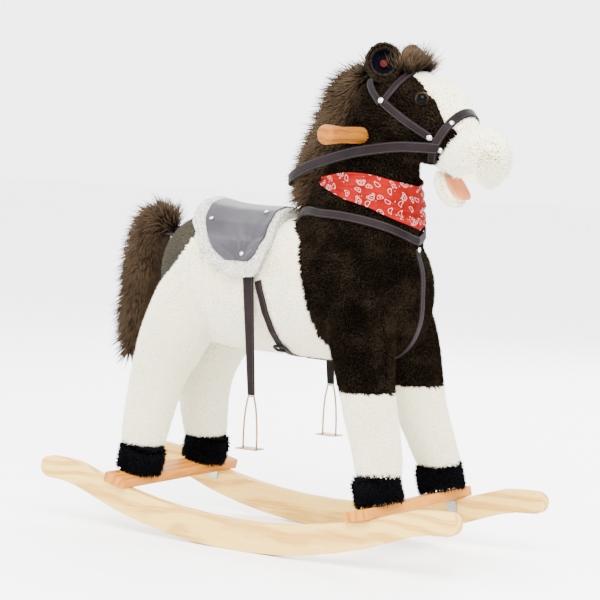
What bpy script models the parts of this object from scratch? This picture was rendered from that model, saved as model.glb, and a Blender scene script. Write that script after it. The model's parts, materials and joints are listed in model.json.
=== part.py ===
"""Plush rocking horse: pine rockers, padded body on a wooden frame, saddle, bridle, moving jaw and tail.

Metres, +X towards the head, +Y to the horse's left, +Z up. The origin is on the floor under the middle.
"""

import math

import bmesh
import bpy
from mathutils import Matrix, Vector
from mathutils.bvhtree import BVHTree

# Driving dimensions.
GAP = 0.0003
RUNNING_GAP = 0.0005

ROCKER_LENGTH = 0.744
ROCKER_THICKNESS = 0.018
ROCKER_OUTER_WIDTH = 0.263
ROCKER_MIDDLE_HEIGHT = 0.044
ROCKER_BOTTOM_RADIUS = 0.79
ROCKER_TOP_RADIUS = 0.909
ROCKER_FACET = 0.05
ROCKER_LEVEL_LENGTH = 0.072
ROCKER_TIP_RADIUS = 0.016
ROCKER_TIP_RISE = 0.0055
ROCKER_EDGE_ROUND = 0.0015

PLANK_WIDTH = 0.038
PLANK_THICKNESS = 0.015
PLANK_LENGTH = 0.288
PLANK_SPACING = 0.436
PLANK_EDGE_ROUND = 0.0012

BRACKET_LEG = 0.018
BRACKET_WIDTH = 0.015
BRACKET_SHEET = 0.0016

SCREW_RADIUS = 0.002
SCREW_HEAD_RADIUS = 0.0036
SCREW_HEAD_HEIGHT = 0.0025
SCREW_RECESS = 0.0015
SCREW_BITE = 0.016
SCREW_INSET = 0.011

HOOF_RADIUS = 0.0335
HOOF_HEIGHT = 0.042
HOOF_FORWARD = 0.005
FRONT_HOOF_SPREAD = 0.085
HIND_HOOF_SPREAD = 0.081

POST_RADIUS = 0.010
BOARD_LENGTH = 0.334
BOARD_WIDTH = 0.100
BOARD_THICKNESS = 0.016
BOARD_BOTTOM = 0.330
BOARD_CENTRE_X = -0.010
FRONT_POST_TOP = (0.143, 0.038)
HIND_POST_TOP = (-0.163, 0.038)

NECK_POST_WIDTH = 0.030
NECK_POST_X = 0.146
NECK_POST_TOP = 0.628
HANDLE_RADIUS = 0.0118
HANDLE_END_RADIUS = 0.0140
HANDLE_WAIST_RADIUS = 0.0112
HANDLE_LENGTH = 0.296
HANDLE_HEIGHT = 0.604

EYE_RADIUS = 0.0098
EYE_X = 0.2390
EYE_Z = 0.6570
EAR_RADIUS = 0.0255
EAR_WALL = 0.005
EAR_CENTRE = (0.173, 0.041, 0.7075)
EAR_TALL = 1.12
EAR_LEAN = (0.50, 0.80, 0.22)
EAR_BUTTON_RADIUS = 0.0055
EAR_BUTTON_HEIGHT = 0.005
EAR_BUTTON_TRAVEL = 0.0025

MUZZLE_CENTRE = (0.3030, 0.0, 0.5770)
MUZZLE_HALF_SIZE = (0.0520, 0.0480, 0.0455)

JAW_PIVOT = (0.2525, 0.5705)
JAW_PIN_RADIUS = 0.002
JAW_PIN_LENGTH = 0.044
JAW_ARM_WIDTH = 0.021
JAW_LINING = (0.0200, 0.0180, 0.0010)
MOUTH_ROOF = ((0.2470, 0.5684), (0.3140, 0.5360))
MOUTH_WIDTH = 0.068

TAIL_PIVOT_Z = 0.444
TAIL_PIN_RADIUS = 0.004
TAIL_PIN_LENGTH = 0.060
TAIL_PIN_FROM_X = -0.1850

STRAP_THICKNESS = 0.0022
STRAP_LIFT = 0.0016
SADDLE_FLEECE_THICKNESS = 0.007
SADDLE_COVER_THICKNESS = 0.004
FLAP_GAP = 0.0130

STIRRUP_STRAP_TOP_WIDTH = 0.019
STIRRUP_STRAP_BOTTOM_WIDTH = 0.0125
STIRRUP_STRAP_LENGTH = 0.176
STIRRUP_STRAP_LEAN = 0.012
STIRRUP_STRAP_THICKNESS = 0.0026
STIRRUP_PIVOT_X = -0.0080
STIRRUP_PIVOT_Z = 0.4000
STIRRUP_WIRE_RADIUS = 0.0014
STIRRUP_WIDTH = 0.024
STIRRUP_HEIGHT = 0.076
STIRRUP_PLATE = (0.036, 0.022, 0.0016)

SOUND_BOX = (0.072, 0.052, 0.034)
SOUND_BOX_X = -0.045

# Sections of the padded body: x, centre height, half height, half width.
# Saddle outlines by angle down the side from the top: degrees, rear x, front x.
FLEECE_OUTLINE = [
    (0.0, -0.1460, -0.0060),
    (26.0, -0.1400, 0.0030),
    (42.0, -0.1270, 0.0090),
    (60.0, -0.0980, 0.0160),
    (71.0, -0.0720, 0.0150),
    (78.0, -0.0460, 0.0090),
    (81.5, -0.0300, 0.0010),
]
COVER_OUTLINE = [
    (0.0, -0.1270, -0.0180),
    (28.0, -0.1150, -0.0080),
    (44.0, -0.0980, -0.0040),
    (57.0, -0.0760, 0.0000),
    (64.0, -0.0600, 0.0000),
    (69.0, -0.0420, -0.0070),
]
SEAT_RISE = 0.0130
SEAT_MIDDLE_X = -0.0740
SEAT_HALF_LENGTH = 0.0720
TORSO_STATIONS = [
    (-0.2130, 0.3900, 0.0260, 0.0260),
    (-0.2030, 0.3900, 0.0560, 0.0540),
    (-0.1780, 0.3880, 0.0830, 0.0790),
    (-0.1350, 0.3840, 0.0970, 0.0940),
    (-0.0800, 0.3800, 0.0990, 0.0980),
    (-0.0200, 0.3780, 0.0985, 0.0970),
    (0.0400, 0.3780, 0.1000, 0.0960),
    (0.0950, 0.3800, 0.1030, 0.0950),
    (0.1450, 0.3810, 0.1010, 0.0890),
    (0.1860, 0.3790, 0.0880, 0.0760),
    (0.2100, 0.3780, 0.0630, 0.0540),
    (0.2210, 0.3780, 0.0300, 0.0260),
]
# Sections across the neck: centre x, height, half depth, half width, slope of the section in degrees.
NECK_STATIONS = [
    (0.1080, 0.4200, 0.0980, 0.0800, 10.0),
    (0.1160, 0.4600, 0.0970, 0.0780, 11.0),
    (0.1250, 0.5000, 0.0880, 0.0700, 12.0),
    (0.1340, 0.5400, 0.0730, 0.0610, 12.0),
    (0.1430, 0.5800, 0.0620, 0.0550, 10.0),
    (0.1520, 0.6200, 0.0570, 0.0520, 6.0),
    (0.1600, 0.6500, 0.0500, 0.0480, 2.0),
]
# Sections along the head from the poll to the nose: x, z, half depth, half width.
HEAD_STATIONS = [
    (0.1200, 0.6560, 0.0260, 0.0240),
    (0.1310, 0.6540, 0.0460, 0.0420),
    (0.1540, 0.6480, 0.0600, 0.0540),
    (0.1850, 0.6380, 0.0630, 0.0590),
    (0.2120, 0.6290, 0.0610, 0.0600),
    (0.2400, 0.6180, 0.0560, 0.0550),
    (0.2620, 0.6050, 0.0450, 0.0450),
    (0.2820, 0.5930, 0.0350, 0.0370),
    (0.2960, 0.5840, 0.0230, 0.0260),
]
HEAD_SLOPE = 30.0
# Sections up each leg from the hoof: x, spread from the middle, height, radius.
FRONT_LEG_STATIONS = [
    (0.2130, 0.0815, 0.1290, 0.0325),
    (0.2040, 0.0740, 0.1600, 0.0350),
    (0.1920, 0.0690, 0.1950, 0.0375),
    (0.1820, 0.0660, 0.2300, 0.0390),
    (0.1740, 0.0650, 0.2650, 0.0420),
    (0.1660, 0.0610, 0.3000, 0.0460),
    (0.1560, 0.0540, 0.3400, 0.0480),
    (0.1460, 0.0460, 0.3800, 0.0400),
]
HIND_LEG_STATIONS = [
    (-0.2130, 0.0780, 0.1290, 0.0325),
    (-0.2120, 0.0720, 0.1600, 0.0360),
    (-0.2080, 0.0650, 0.1950, 0.0390),
    (-0.2000, 0.0610, 0.2300, 0.0430),
    (-0.1850, 0.0580, 0.2650, 0.0500),
    (-0.1660, 0.0600, 0.3050, 0.0550),
    (-0.1500, 0.0560, 0.3500, 0.0540),
    (-0.1450, 0.0480, 0.3900, 0.0440),
]
# Middle line of the tail with its half depth and half width.
TAIL_STATIONS = [
    (-0.2190, 0.4440, 0.0110, 0.0110),
    (-0.2300, 0.4560, 0.0190, 0.0200),
    (-0.2460, 0.4640, 0.0250, 0.0270),
    (-0.2660, 0.4480, 0.0290, 0.0300),
    (-0.2780, 0.4050, 0.0300, 0.0310),
    (-0.2870, 0.3500, 0.0280, 0.0290),
    (-0.2980, 0.2980, 0.0230, 0.0240),
    (-0.3080, 0.2560, 0.0120, 0.0120),
]
# Middle line of the mane, outside the crest of the neck, with its half depth and half width.
MANE_STATIONS = [
    (0.1380, 0.6940, 0.0120, 0.0160),
    (0.1180, 0.6860, 0.0230, 0.0260),
    (0.0950, 0.6600, 0.0310, 0.0310),
    (0.0800, 0.6230, 0.0320, 0.0320),
    (0.0620, 0.5850, 0.0330, 0.0320),
    (0.0440, 0.5450, 0.0300, 0.0300),
    (0.0300, 0.5080, 0.0220, 0.0260),
]
# Middle line of the lower jaw from its root to the lip: x, z, half depth, half width.
JAW_STATIONS = [
    (0.2510, 0.5765, 0.0050, 0.0105),
    (0.2522, 0.5700, 0.0062, 0.0105),
    (0.2530, 0.5600, 0.0070, 0.0115),
    (0.2560, 0.5480, 0.0105, 0.0220),
    (0.2640, 0.5330, 0.0130, 0.0270),
    (0.2740, 0.5190, 0.0115, 0.0240),
    (0.2805, 0.5105, 0.0050, 0.0140),
]
REINS_ROUTE = [
    (0.2700, -0.0462, 0.5890),
    (0.2450, -0.0590, 0.5900),
    (0.2200, -0.0660, 0.5900),
    (0.1900, -0.0680, 0.5870),
    (0.1450, -0.0680, 0.5800),
    (0.1000, -0.0640, 0.5690),
    (0.0600, -0.0570, 0.5570),
    (0.0250, -0.0440, 0.5430),
    (0.0050, -0.0250, 0.5350),
    (-0.0020, 0.0, 0.5325),
]
REINS_WIDTH = 0.015
# Height of the ear's hollow floor over its middle plane.
EAR_FLOOR = -0.0080
# Girth round one side: angle from the top in degrees, x.
GIRTH = [(84.0, 0.0060), (100.0, 0.0140), (123.0, 0.0200), (150.0, 0.0210), (180.0, 0.0210)]
GIRTH_WIDTH = 0.0115
GIRTH_LIFT = 0.0015
# Middle line of the breast collar on the left side.
COLLAR = [
    (0.0160, 0.0300, 0.4870),
    (0.0490, 0.0500, 0.4890),
    (0.1100, 0.0710, 0.4905),
    (0.1570, 0.0650, 0.4860),
    (0.1930, 0.0430, 0.4740),
    (0.2100, 0.0170, 0.4610),
    (0.2150, 0.0, 0.4560),
]
COLLAR_CENTRE_X = 0.1150
COLLAR_WIDTH = 0.0125
COLLAR_LIFT = 0.0028
# Chest strap down the front: height, and the way it is seen from (forward, up). Then its run under the belly.
CHEST_STRAP = [
    (0.4440, 1.0, 0.0),
    (0.4000, 1.0, 0.0),
    (0.3500, 1.0, -0.15),
    (0.3150, 0.8, -0.6),
    (0.2950, 0.35, -1.0),
]
BELLY_STRAP_X = (0.1500, 0.1250, 0.1000, 0.0750, 0.0500, 0.0320)
CHEST_STRAP_WIDTH = 0.0120
CHEST_STRAP_LIFT = 0.0024
# Bridle straps on the cheeks, x and z.
CHEEK_TOP = (0.1830, 0.6530)
CHEEK_LOW = (0.2573, 0.6047)
BRIDLE_WIDTH = 0.0120
CROWN_LIFT = 0.0030
NOSEBAND_CENTRE = (0.2680, 0.5975)
NOSEBAND_DROP = 0.80
# Neckerchief round the left side: angle from the front, height of its middle, width.
KERCHIEF = [
    (0.0, 0.5030, 0.062),
    (30.0, 0.5140, 0.055),
    (60.0, 0.5270, 0.046),
    (90.0, 0.5330, 0.036),
    (118.0, 0.5370, 0.018),
    (134.0, 0.5390, 0.007),
]
KERCHIEF_AXIS_X = 0.1300
KERCHIEF_LIFT = 0.0016
KERCHIEF_THICKNESS = 0.0020
# Height that rays to the barrel run through.
BARREL_CENTRE_Z = 0.380
STIRRUP_BAR_HALF = 0.0050
# Front half of a stirrup's wire below its top bar: x from the middle, z from the bar.
STIRRUP_BOW = [(0.0066, -0.0060), (0.0092, -0.0180), (0.0110, -0.0340), (0.0120, -0.0540)]


def clear_scene():
    for old in list(bpy.data.objects):
        bpy.data.objects.remove(old, do_unlink=True)


def new_collection(name, shown=True):
    made = bpy.data.collections.new(name)
    bpy.context.scene.collection.children.link(made)
    made.hide_render = not shown
    return made


def new_material(name, color, roughness, metallic=0.0):
    made = bpy.data.materials.new(name)
    made.use_nodes = True
    shader = made.node_tree.nodes["Principled BSDF"]
    shader.inputs["Base Color"].default_value = (*color, 1.0)
    shader.inputs["Roughness"].default_value = roughness
    shader.inputs["Metallic"].default_value = metallic
    return made


clear_scene()
horse = new_collection("rocking_horse")
cutters = new_collection("cutters", shown=False)

PINE = new_material("pine", (0.80, 0.62, 0.36), 0.45)
DARK_PINE = new_material("dark_pine", (0.74, 0.46, 0.22), 0.45)
HANDLE_WOOD = new_material("handle_wood", (0.80, 0.50, 0.22), 0.30)
FRAME_WOOD = new_material("frame_wood", (0.72, 0.56, 0.36), 0.70)
WHITE_PLUSH = new_material("white_plush", (0.86, 0.83, 0.74), 0.95)
BROWN_PLUSH = new_material("brown_plush", (0.060, 0.042, 0.028), 0.95)
BLACK_PLUSH = new_material("black_plush", (0.010, 0.010, 0.012), 0.95)
HAIR = new_material("hair", (0.10, 0.065, 0.035), 0.9)
FLEECE = new_material("fleece", (0.84, 0.82, 0.74), 0.95)
VINYL = new_material("vinyl", (0.10, 0.075, 0.085), 0.35)
STRAP = new_material("strap_leather", (0.055, 0.030, 0.030), 0.40)
BRASS = new_material("brass_wire", (0.72, 0.52, 0.24), 0.30, 1.0)
STEEL = new_material("zinc_steel", (0.60, 0.60, 0.60), 0.35, 1.0)
DARK_STEEL = new_material("dark_steel", (0.10, 0.09, 0.08), 0.50, 1.0)
GLASS_EYE = new_material("glass_eye", (0.015, 0.010, 0.008), 0.05)
RED_CLOTH = new_material("red_cotton", (0.62, 0.03, 0.03), 0.85)
PINK_FELT = new_material("pink_felt", (0.83, 0.42, 0.28), 0.9)
BUTTON_RED = new_material("red_plastic", (0.70, 0.05, 0.04), 0.5)
GREY_PLASTIC = new_material("grey_plastic", (0.35, 0.36, 0.38), 0.5)


def finish(name, mesh_object, material, smooth_angle=35.0):
    """Names an object, gives it its material and puts it with the parts."""
    mesh_object.name = name
    mesh_object.data.name = name
    mesh_object.data.materials.clear()
    mesh_object.data.materials.append(material)
    for owner in list(mesh_object.users_collection):
        owner.objects.unlink(mesh_object)
    horse.objects.link(mesh_object)
    if mesh_object.type == "MESH":
        mesh_object.data.shade_smooth()
        mesh_object.data.set_sharp_from_angle(angle=math.radians(smooth_angle))
    return mesh_object


def as_cutter(mesh_object, name):
    mesh_object.name = name
    for owner in list(mesh_object.users_collection):
        owner.objects.unlink(mesh_object)
    cutters.objects.link(mesh_object)
    mesh_object.hide_render = True
    mesh_object.display_type = "WIRE"
    return mesh_object


def from_bmesh(shape, name):
    bmesh.ops.recalc_face_normals(shape, faces=shape.faces[:])
    mesh = bpy.data.meshes.new(name)
    shape.to_mesh(mesh)
    shape.free()
    made = bpy.data.objects.new(name, mesh)
    bpy.context.scene.collection.objects.link(made)
    return made


def box(name, size, matrix):
    shape = bmesh.new()
    bmesh.ops.create_cube(shape, size=1.0)
    bmesh.ops.scale(shape, vec=Vector(size), verts=shape.verts)
    made = from_bmesh(shape, name)
    made.matrix_world = matrix
    return made


def axis_matrix(start, direction):
    """Frame at start whose Z runs along direction."""
    turn = Vector(direction).normalized().to_track_quat("Z", "Y").to_matrix().to_4x4()
    return Matrix.Translation(Vector(start)) @ turn


def rod(name, start, end, radius, sides=16):
    start = Vector(start)
    reach = Vector(end) - start
    shape = bmesh.new()
    bmesh.ops.create_cone(
        shape, cap_ends=True, segments=sides, radius1=radius, radius2=radius, depth=reach.length
    )
    bmesh.ops.translate(shape, vec=(0, 0, reach.length / 2), verts=shape.verts)
    made = from_bmesh(shape, name)
    made.matrix_world = axis_matrix(start, reach)
    return made


def turned(name, profile, steps, matrix):
    """Solid of revolution about its own Z, from (radius, height) points listed top to bottom."""
    mesh = bpy.data.meshes.new(name)
    mesh.from_pydata([(r, 0, z) for r, z in profile], [(i, i + 1) for i in range(len(profile) - 1)], [])
    made = bpy.data.objects.new(name, mesh)
    bpy.context.scene.collection.objects.link(made)
    screw = made.modifiers.new("turn", "SCREW")
    screw.steps = steps
    screw.render_steps = steps
    screw.use_merge_vertices = True
    screw.merge_threshold = 0.00001
    made.matrix_world = matrix
    return made


def sphere(name, centre, half_size, segments=20, rings=12):
    shape = bmesh.new()
    bmesh.ops.create_uvsphere(shape, u_segments=segments, v_segments=rings, radius=1.0)
    bmesh.ops.scale(shape, vec=Vector(half_size), verts=shape.verts)
    made = from_bmesh(shape, name)
    made.location = centre
    return made


def outline(name, points, thickness, matrix, edge_round):
    """Flat board cut to an outline in its own XY plane."""
    curve = bpy.data.curves.new(name, "CURVE")
    curve.dimensions = "2D"
    curve.fill_mode = "BOTH"
    curve.extrude = thickness / 2
    line = curve.splines.new("POLY")
    line.points.add(len(points) - 1)
    for place, (x, y) in zip(line.points, points):
        place.co = (x, y, 0, 1)
    line.use_cyclic_u = True
    made = bpy.data.objects.new(name, curve)
    bpy.context.scene.collection.objects.link(made)
    made.matrix_world = matrix
    made = to_mesh(made)
    if edge_round:
        bevel = made.modifiers.new("edges", "BEVEL")
        bevel.width = edge_round
        bevel.segments = 1
        bevel.limit_method = "ANGLE"
        bevel.angle_limit = math.radians(50)
        made = to_mesh(made)
    return made


def to_mesh(source):
    """Replaces an object by a plain mesh of what it shows, with its caps welded."""
    bpy.context.view_layer.update()
    graph = bpy.context.evaluated_depsgraph_get()
    mesh = bpy.data.meshes.new_from_object(source.evaluated_get(graph))
    shape = bmesh.new()
    shape.from_mesh(mesh)
    bmesh.ops.remove_doubles(shape, verts=shape.verts[:], dist=0.00001)
    shape.to_mesh(mesh)
    shape.free()
    made = bpy.data.objects.new(source.name, mesh)
    made.matrix_world = source.matrix_world
    bpy.context.scene.collection.objects.link(made)
    bpy.data.objects.remove(source, do_unlink=True)
    return made


def combine(target, tool, operation):
    bpy.context.view_layer.update()
    change = target.modifiers.new(tool.name, "BOOLEAN")
    change.operation = operation
    change.solver = "EXACT"
    change.object = tool
    return target


def cut(target, *tools):
    for tool in tools:
        combine(target, tool, "DIFFERENCE")
    return target


def through_points(points, per_span):
    """Smooth run of rows through the given rows of numbers."""
    rows = [points[0], *points, points[-1]]
    run = []
    for before, start, end, after in zip(rows, rows[1:], rows[2:], rows[3:]):
        for step in range(per_span):
            t = step / per_span
            row = []
            for a, b, c, d in zip(before, start, end, after):
                square = (2 * a - 5 * b + 4 * c - d) * t**2
                cube = (3 * b - a - 3 * c + d) * t**3
                row.append(0.5 * (2 * b + (c - a) * t + square + cube))
            run.append(row)
    run.append(list(points[-1]))
    return run


def loft(name, rings):
    """Skin over rings of points, with a fan at each end."""
    shape = bmesh.new()
    rows = [[shape.verts.new(point) for point in ring] for ring in rings]
    count = len(rows[0])
    for low, high in zip(rows, rows[1:]):
        for i in range(count):
            j = (i + 1) % count
            shape.faces.new((low[i], low[j], high[j], high[i]))
    for row in (rows[0], rows[-1]):
        middle = sum((vertex.co for vertex in row), Vector()) / count
        centre = shape.verts.new(middle)
        for i in range(count):
            shape.faces.new((row[i], row[(i + 1) % count], centre))
    return from_bmesh(shape, name)


def ring(centre, across, up, sides, margin=0.0):
    """Ellipse of points about a centre, with its two half axes as vectors, grown by a margin."""
    across = across * (1 + margin / across.length)
    up = up * (1 + margin / up.length)
    turns = [2 * math.pi * k / sides for k in range(sides)]
    return [centre + across * math.cos(a) + up * math.sin(a) for a in turns]


def torso_rings(margin=0.0, sides=20):
    rows = through_points(TORSO_STATIONS, 2)
    rings = []
    for index, (x, z, high, wide) in enumerate(rows):
        end = -margin if index == 0 else margin if index == len(rows) - 1 else 0.0
        rings.append(ring(Vector((x + end, 0, z)), Vector((0, wide, 0)), Vector((0, 0, high)), sides, margin))
    return rings


def neck_rings(margin=0.0, sides=18):
    rings = []
    for x, z, deep, wide, slope in through_points(NECK_STATIONS, 2):
        lean = math.radians(slope)
        along = Vector((deep * math.cos(lean), 0, -deep * math.sin(lean)))
        rings.append(ring(Vector((x, 0, z)), along, Vector((0, wide, 0)), sides, margin))
    return rings


def head_rings(margin=0.0, sides=18):
    slope = math.radians(HEAD_SLOPE)
    forward = Vector((math.cos(slope), 0, -math.sin(slope)))
    up = Vector((math.sin(slope), 0, math.cos(slope)))
    rows = through_points(HEAD_STATIONS, 2)
    rings = []
    for index, (x, z, deep, wide) in enumerate(rows):
        end = -margin if index == 0 else margin if index == len(rows) - 1 else 0.0
        centre = Vector((x, 0, z)) + forward * end
        rings.append(ring(centre, Vector((0, wide, 0)), up * deep, sides, margin))
    return rings


def leg_rings(stations, side, first_lean, sides=14):
    rings = []
    rows = through_points(stations, 2)
    for index, (x, spread, z, radius) in enumerate(rows):
        share = index / (len(rows) - 1)
        lean = math.radians(first_lean) * (1 - share)
        along = Vector((radius * math.cos(lean), 0, radius * math.sin(lean)))
        rings.append(ring(Vector((x, side * spread, z)), along, Vector((0, radius, 0)), sides))
    return rings


def swept_rings(stations, sides, per_span=2, margin=0.0):
    """Rings across a middle line in the XZ plane, from (x, z, half depth, half width) rows."""
    rows = through_points(stations, per_span)
    rings = []
    for index, (x, z, deep, wide) in enumerate(rows):
        before = rows[max(index - 1, 0)]
        after = rows[min(index + 1, len(rows) - 1)]
        run = Vector((after[0] - before[0], 0, after[1] - before[1])).normalized()
        across = Vector((-run.z, 0, run.x)) * deep
        rings.append(ring(Vector((x, 0, z)), Vector((0, wide, 0)), across, sides, margin))
    return rings


def surface_of(ring_sets):
    """Ray-castable skin of the padded shapes, for laying straps on them."""
    points, faces = [], []
    for rings in ring_sets:
        count = len(rings[0])
        base = len(points)
        for row in rings:
            points.extend(row)
        for k in range(len(rings) - 1):
            for i in range(count):
                j = (i + 1) % count
                a = base + k * count
                faces.append((a + i, a + j, a + count + j, a + count + i))
        for first in (base, base + (len(rings) - 1) * count):
            points.append(sum((points[first + i] for i in range(count)), Vector()) / count)
            for i in range(count):
                faces.append((first + i, first + (i + 1) % count, len(points) - 1))
    return BVHTree.FromPolygons(points, faces)


def drop_onto(surface, start, inward):
    """Where a ray from outside meets the padding."""
    found, _, _, _ = surface.ray_cast(Vector(start), Vector(inward).normalized())
    if found is None:
        raise ValueError(f"nothing under {tuple(start)}")
    return found


def strap(name, rails, lift=STRAP_LIFT):
    """Flat band between two rails of surface points; each rail row is (left, right, outward)."""
    rings = []
    for left, right, outward in rails:
        low = outward * lift
        high = outward * (lift + STRAP_THICKNESS)
        rings.append([left + low, right + low, right + high, left + high])
    return finish(name, loft(name, rings), STRAP, 30.0)


def laid_rails(surface, path, width):
    """Rails for a strap along a path of (outside point, inward direction), laid on the surface."""
    middle = [drop_onto(surface, start, inward) for start, inward in path]
    rails = []
    for index, (start, inward) in enumerate(path):
        before = middle[max(index - 1, 0)]
        after = middle[min(index + 1, len(middle) - 1)]
        outward = -Vector(inward).normalized()
        side = (after - before).cross(outward).normalized() * (width / 2)
        left = drop_onto(surface, Vector(start) + side, inward)
        right = drop_onto(surface, Vector(start) - side, inward)
        rails.append((left, right, outward))
    return rails


def ring_rails(surface, centre, across, up, width, steps, start, end):
    """Rails round part of a shape: rays run in towards the centre, in the plane of across and up."""
    half = across.cross(up).normalized() * (width / 2)
    rails = []
    for k in range(steps + 1):
        angle = start + (end - start) * k / steps
        outward = across * math.cos(angle) + up * math.sin(angle)
        left = drop_onto(surface, centre + half + outward * 0.4, -outward)
        right = drop_onto(surface, centre - half + outward * 0.4, -outward)
        rails.append((left, right, outward.normalized()))
    return rails


# ---- Rockers and planks ----

ROCKER_Y = (ROCKER_OUTER_WIDTH - ROCKER_THICKNESS) / 2
PLANK_X = PLANK_SPACING / 2
LEVEL_X = ROCKER_LENGTH / 2 - ROCKER_LEVEL_LENGTH
TIP_X = ROCKER_LENGTH / 2 - ROCKER_TIP_RADIUS


def rise(radius, x):
    return radius - math.sqrt(radius**2 - x**2)


def rocker_bottom(x):
    return rise(ROCKER_BOTTOM_RADIUS, x) - rise(ROCKER_BOTTOM_RADIUS, ROCKER_FACET / 2)


def rocker_top(x):
    return ROCKER_MIDDLE_HEIGHT + rise(ROCKER_TOP_RADIUS, x)


SEAT_HALF = PLANK_WIDTH / 2 + 0.002
PLANK_SLOPE = math.atan2(
    rocker_top(PLANK_X + SEAT_HALF) - rocker_top(PLANK_X - SEAT_HALF), 2 * SEAT_HALF
)
SEAT_Z = (rocker_top(PLANK_X + SEAT_HALF) + rocker_top(PLANK_X - SEAT_HALF)) / 2
TIP_Z = (rocker_bottom(LEVEL_X) + rocker_top(LEVEL_X)) / 2 + ROCKER_TIP_RISE


def rocker_half_outline():
    """Right half of the side view, from the middle of the bottom round the tip to the middle of the top."""
    bottom = []
    x = ROCKER_FACET / 2
    while x < LEVEL_X - ROCKER_FACET / 2:
        bottom.append((x, rocker_bottom(x)))
        x += ROCKER_FACET
    bottom.append((LEVEL_X, rocker_bottom(LEVEL_X)))
    tip_low = TIP_Z - ROCKER_TIP_RADIUS
    tip_high = TIP_Z + ROCKER_TIP_RADIUS
    level_low = rocker_bottom(LEVEL_X)
    level_high = rocker_top(LEVEL_X)
    middle_x = (LEVEL_X + TIP_X) / 2
    bottom.append((middle_x, level_low + 0.80 * (tip_low - level_low)))
    tip = []
    for step in range(9):
        angle = math.radians(-90 + 22.5 * step)
        tip.append((TIP_X + ROCKER_TIP_RADIUS * math.cos(angle), TIP_Z + ROCKER_TIP_RADIUS * math.sin(angle)))
    top = [(middle_x, level_high + 0.80 * (tip_high - level_high)), (LEVEL_X, level_high)]
    top.append((PLANK_X + SEAT_HALF, rocker_top(PLANK_X + SEAT_HALF)))
    top.append((PLANK_X - SEAT_HALF, rocker_top(PLANK_X - SEAT_HALF)))
    spans = 4
    for step in range(1, spans):
        x = (PLANK_X - SEAT_HALF) * (1 - step / spans)
        top.append((x, rocker_top(x)))
    return bottom + tip + top


def rocker_outline():
    half = rocker_half_outline()
    other = [(-x, z) for x, z in reversed(half)]
    return half + [(0.0, rocker_top(0.0))] + other


def plank_frame(end):
    """Frame on the rocker's seat under the middle of a plank: X along the seat, Z out of it."""
    turn = Matrix.Rotation(-end * PLANK_SLOPE, 4, "Y")
    return Matrix.Translation((end * PLANK_X, 0, SEAT_Z)) @ turn


def on_plank(end, along, across, above):
    """Point given in a plank's own frame, heights measured from its underside."""
    return plank_frame(end) @ Vector((along, across, GAP + above))


def upright_turn():
    return Matrix.Rotation(math.radians(90), 4, "X")


rockers = {}
planks = {}
SIDES = {"right": -1, "left": 1}
ENDS = {"front": 1, "rear": -1}

for side_name, side in SIDES.items():
    place = Matrix.Translation((0, side * ROCKER_Y, 0)) @ upright_turn()
    name = f"rocker_{side_name}"
    rockers[side_name] = outline(name, rocker_outline(), ROCKER_THICKNESS, place, ROCKER_EDGE_ROUND)

for end_name, end in ENDS.items():
    place = plank_frame(end) @ Matrix.Translation((0, 0, GAP + PLANK_THICKNESS / 2))
    plank = box(f"{end_name}_plank", (PLANK_WIDTH, PLANK_LENGTH, PLANK_THICKNESS), place)
    bevel = plank.modifiers.new("edges", "BEVEL")
    bevel.width = PLANK_EDGE_ROUND
    bevel.segments = 1
    planks[end_name] = plank

for end_name, end in ENDS.items():
    for side_name, side in SIDES.items():
        at = end * SCREW_INSET
        y = side * ROCKER_Y
        head_top = PLANK_THICKNESS - SCREW_RECESS
        head_low = head_top - SCREW_HEAD_HEIGHT
        profile = [
            (0.0, head_top),
            (SCREW_HEAD_RADIUS, head_top),
            (SCREW_RADIUS, head_low),
            (SCREW_RADIUS, -SCREW_BITE),
            (0.0, -SCREW_BITE),
        ]
        hole = [
            (0.0, PLANK_THICKNESS + 0.004),
            (SCREW_HEAD_RADIUS + GAP, PLANK_THICKNESS + 0.004),
            (SCREW_HEAD_RADIUS + GAP, head_top),
            (SCREW_RADIUS + GAP, head_low - GAP),
            (SCREW_RADIUS + GAP, -SCREW_BITE - GAP),
            (0.0, -SCREW_BITE - GAP),
        ]
        frame = plank_frame(end) @ Matrix.Translation((at, y, GAP))
        finish(f"plank_screw_{end_name}_{side_name}", turned("screw", profile, 12, frame), DARK_STEEL)
        drill = as_cutter(to_mesh(turned("screw_hole", hole, 12, frame)), "screw_hole")
        cut(planks[end_name], drill)
        cut(rockers[side_name], drill)

        leg = [
            (0.0, 0.0),
            (BRACKET_LEG, 0.0),
            (BRACKET_LEG, BRACKET_SHEET),
            (BRACKET_SHEET, BRACKET_SHEET),
            (BRACKET_SHEET, BRACKET_LEG),
            (0.0, BRACKET_LEG),
        ]
        corner_y = side * (ROCKER_Y - ROCKER_THICKNESS / 2 - GAP)
        corner = plank_frame(end) @ Matrix.Translation((0, corner_y, 0))
        folded = Matrix(((0, 0, 1, 0), (-side, 0, 0, 0), (0, -1, 0, 0), (0, 0, 0, 1)))
        bracket = outline("bracket", leg, BRACKET_WIDTH, corner @ folded, 0)
        finish(f"bracket_{end_name}_{side_name}", bracket, STEEL)

for side_name, rocker in rockers.items():
    finish(f"rocker_{side_name}", rocker, PINE)
for end_name, plank in planks.items():
    finish(f"{end_name}_plank", plank, DARK_PINE)


# ---- Wooden frame inside ----

HOOF_SPREAD = {"front": FRONT_HOOF_SPREAD, "rear": HIND_HOOF_SPREAD}
POST_TOP = {"front": FRONT_POST_TOP, "rear": HIND_POST_TOP}
channels = []

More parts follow.
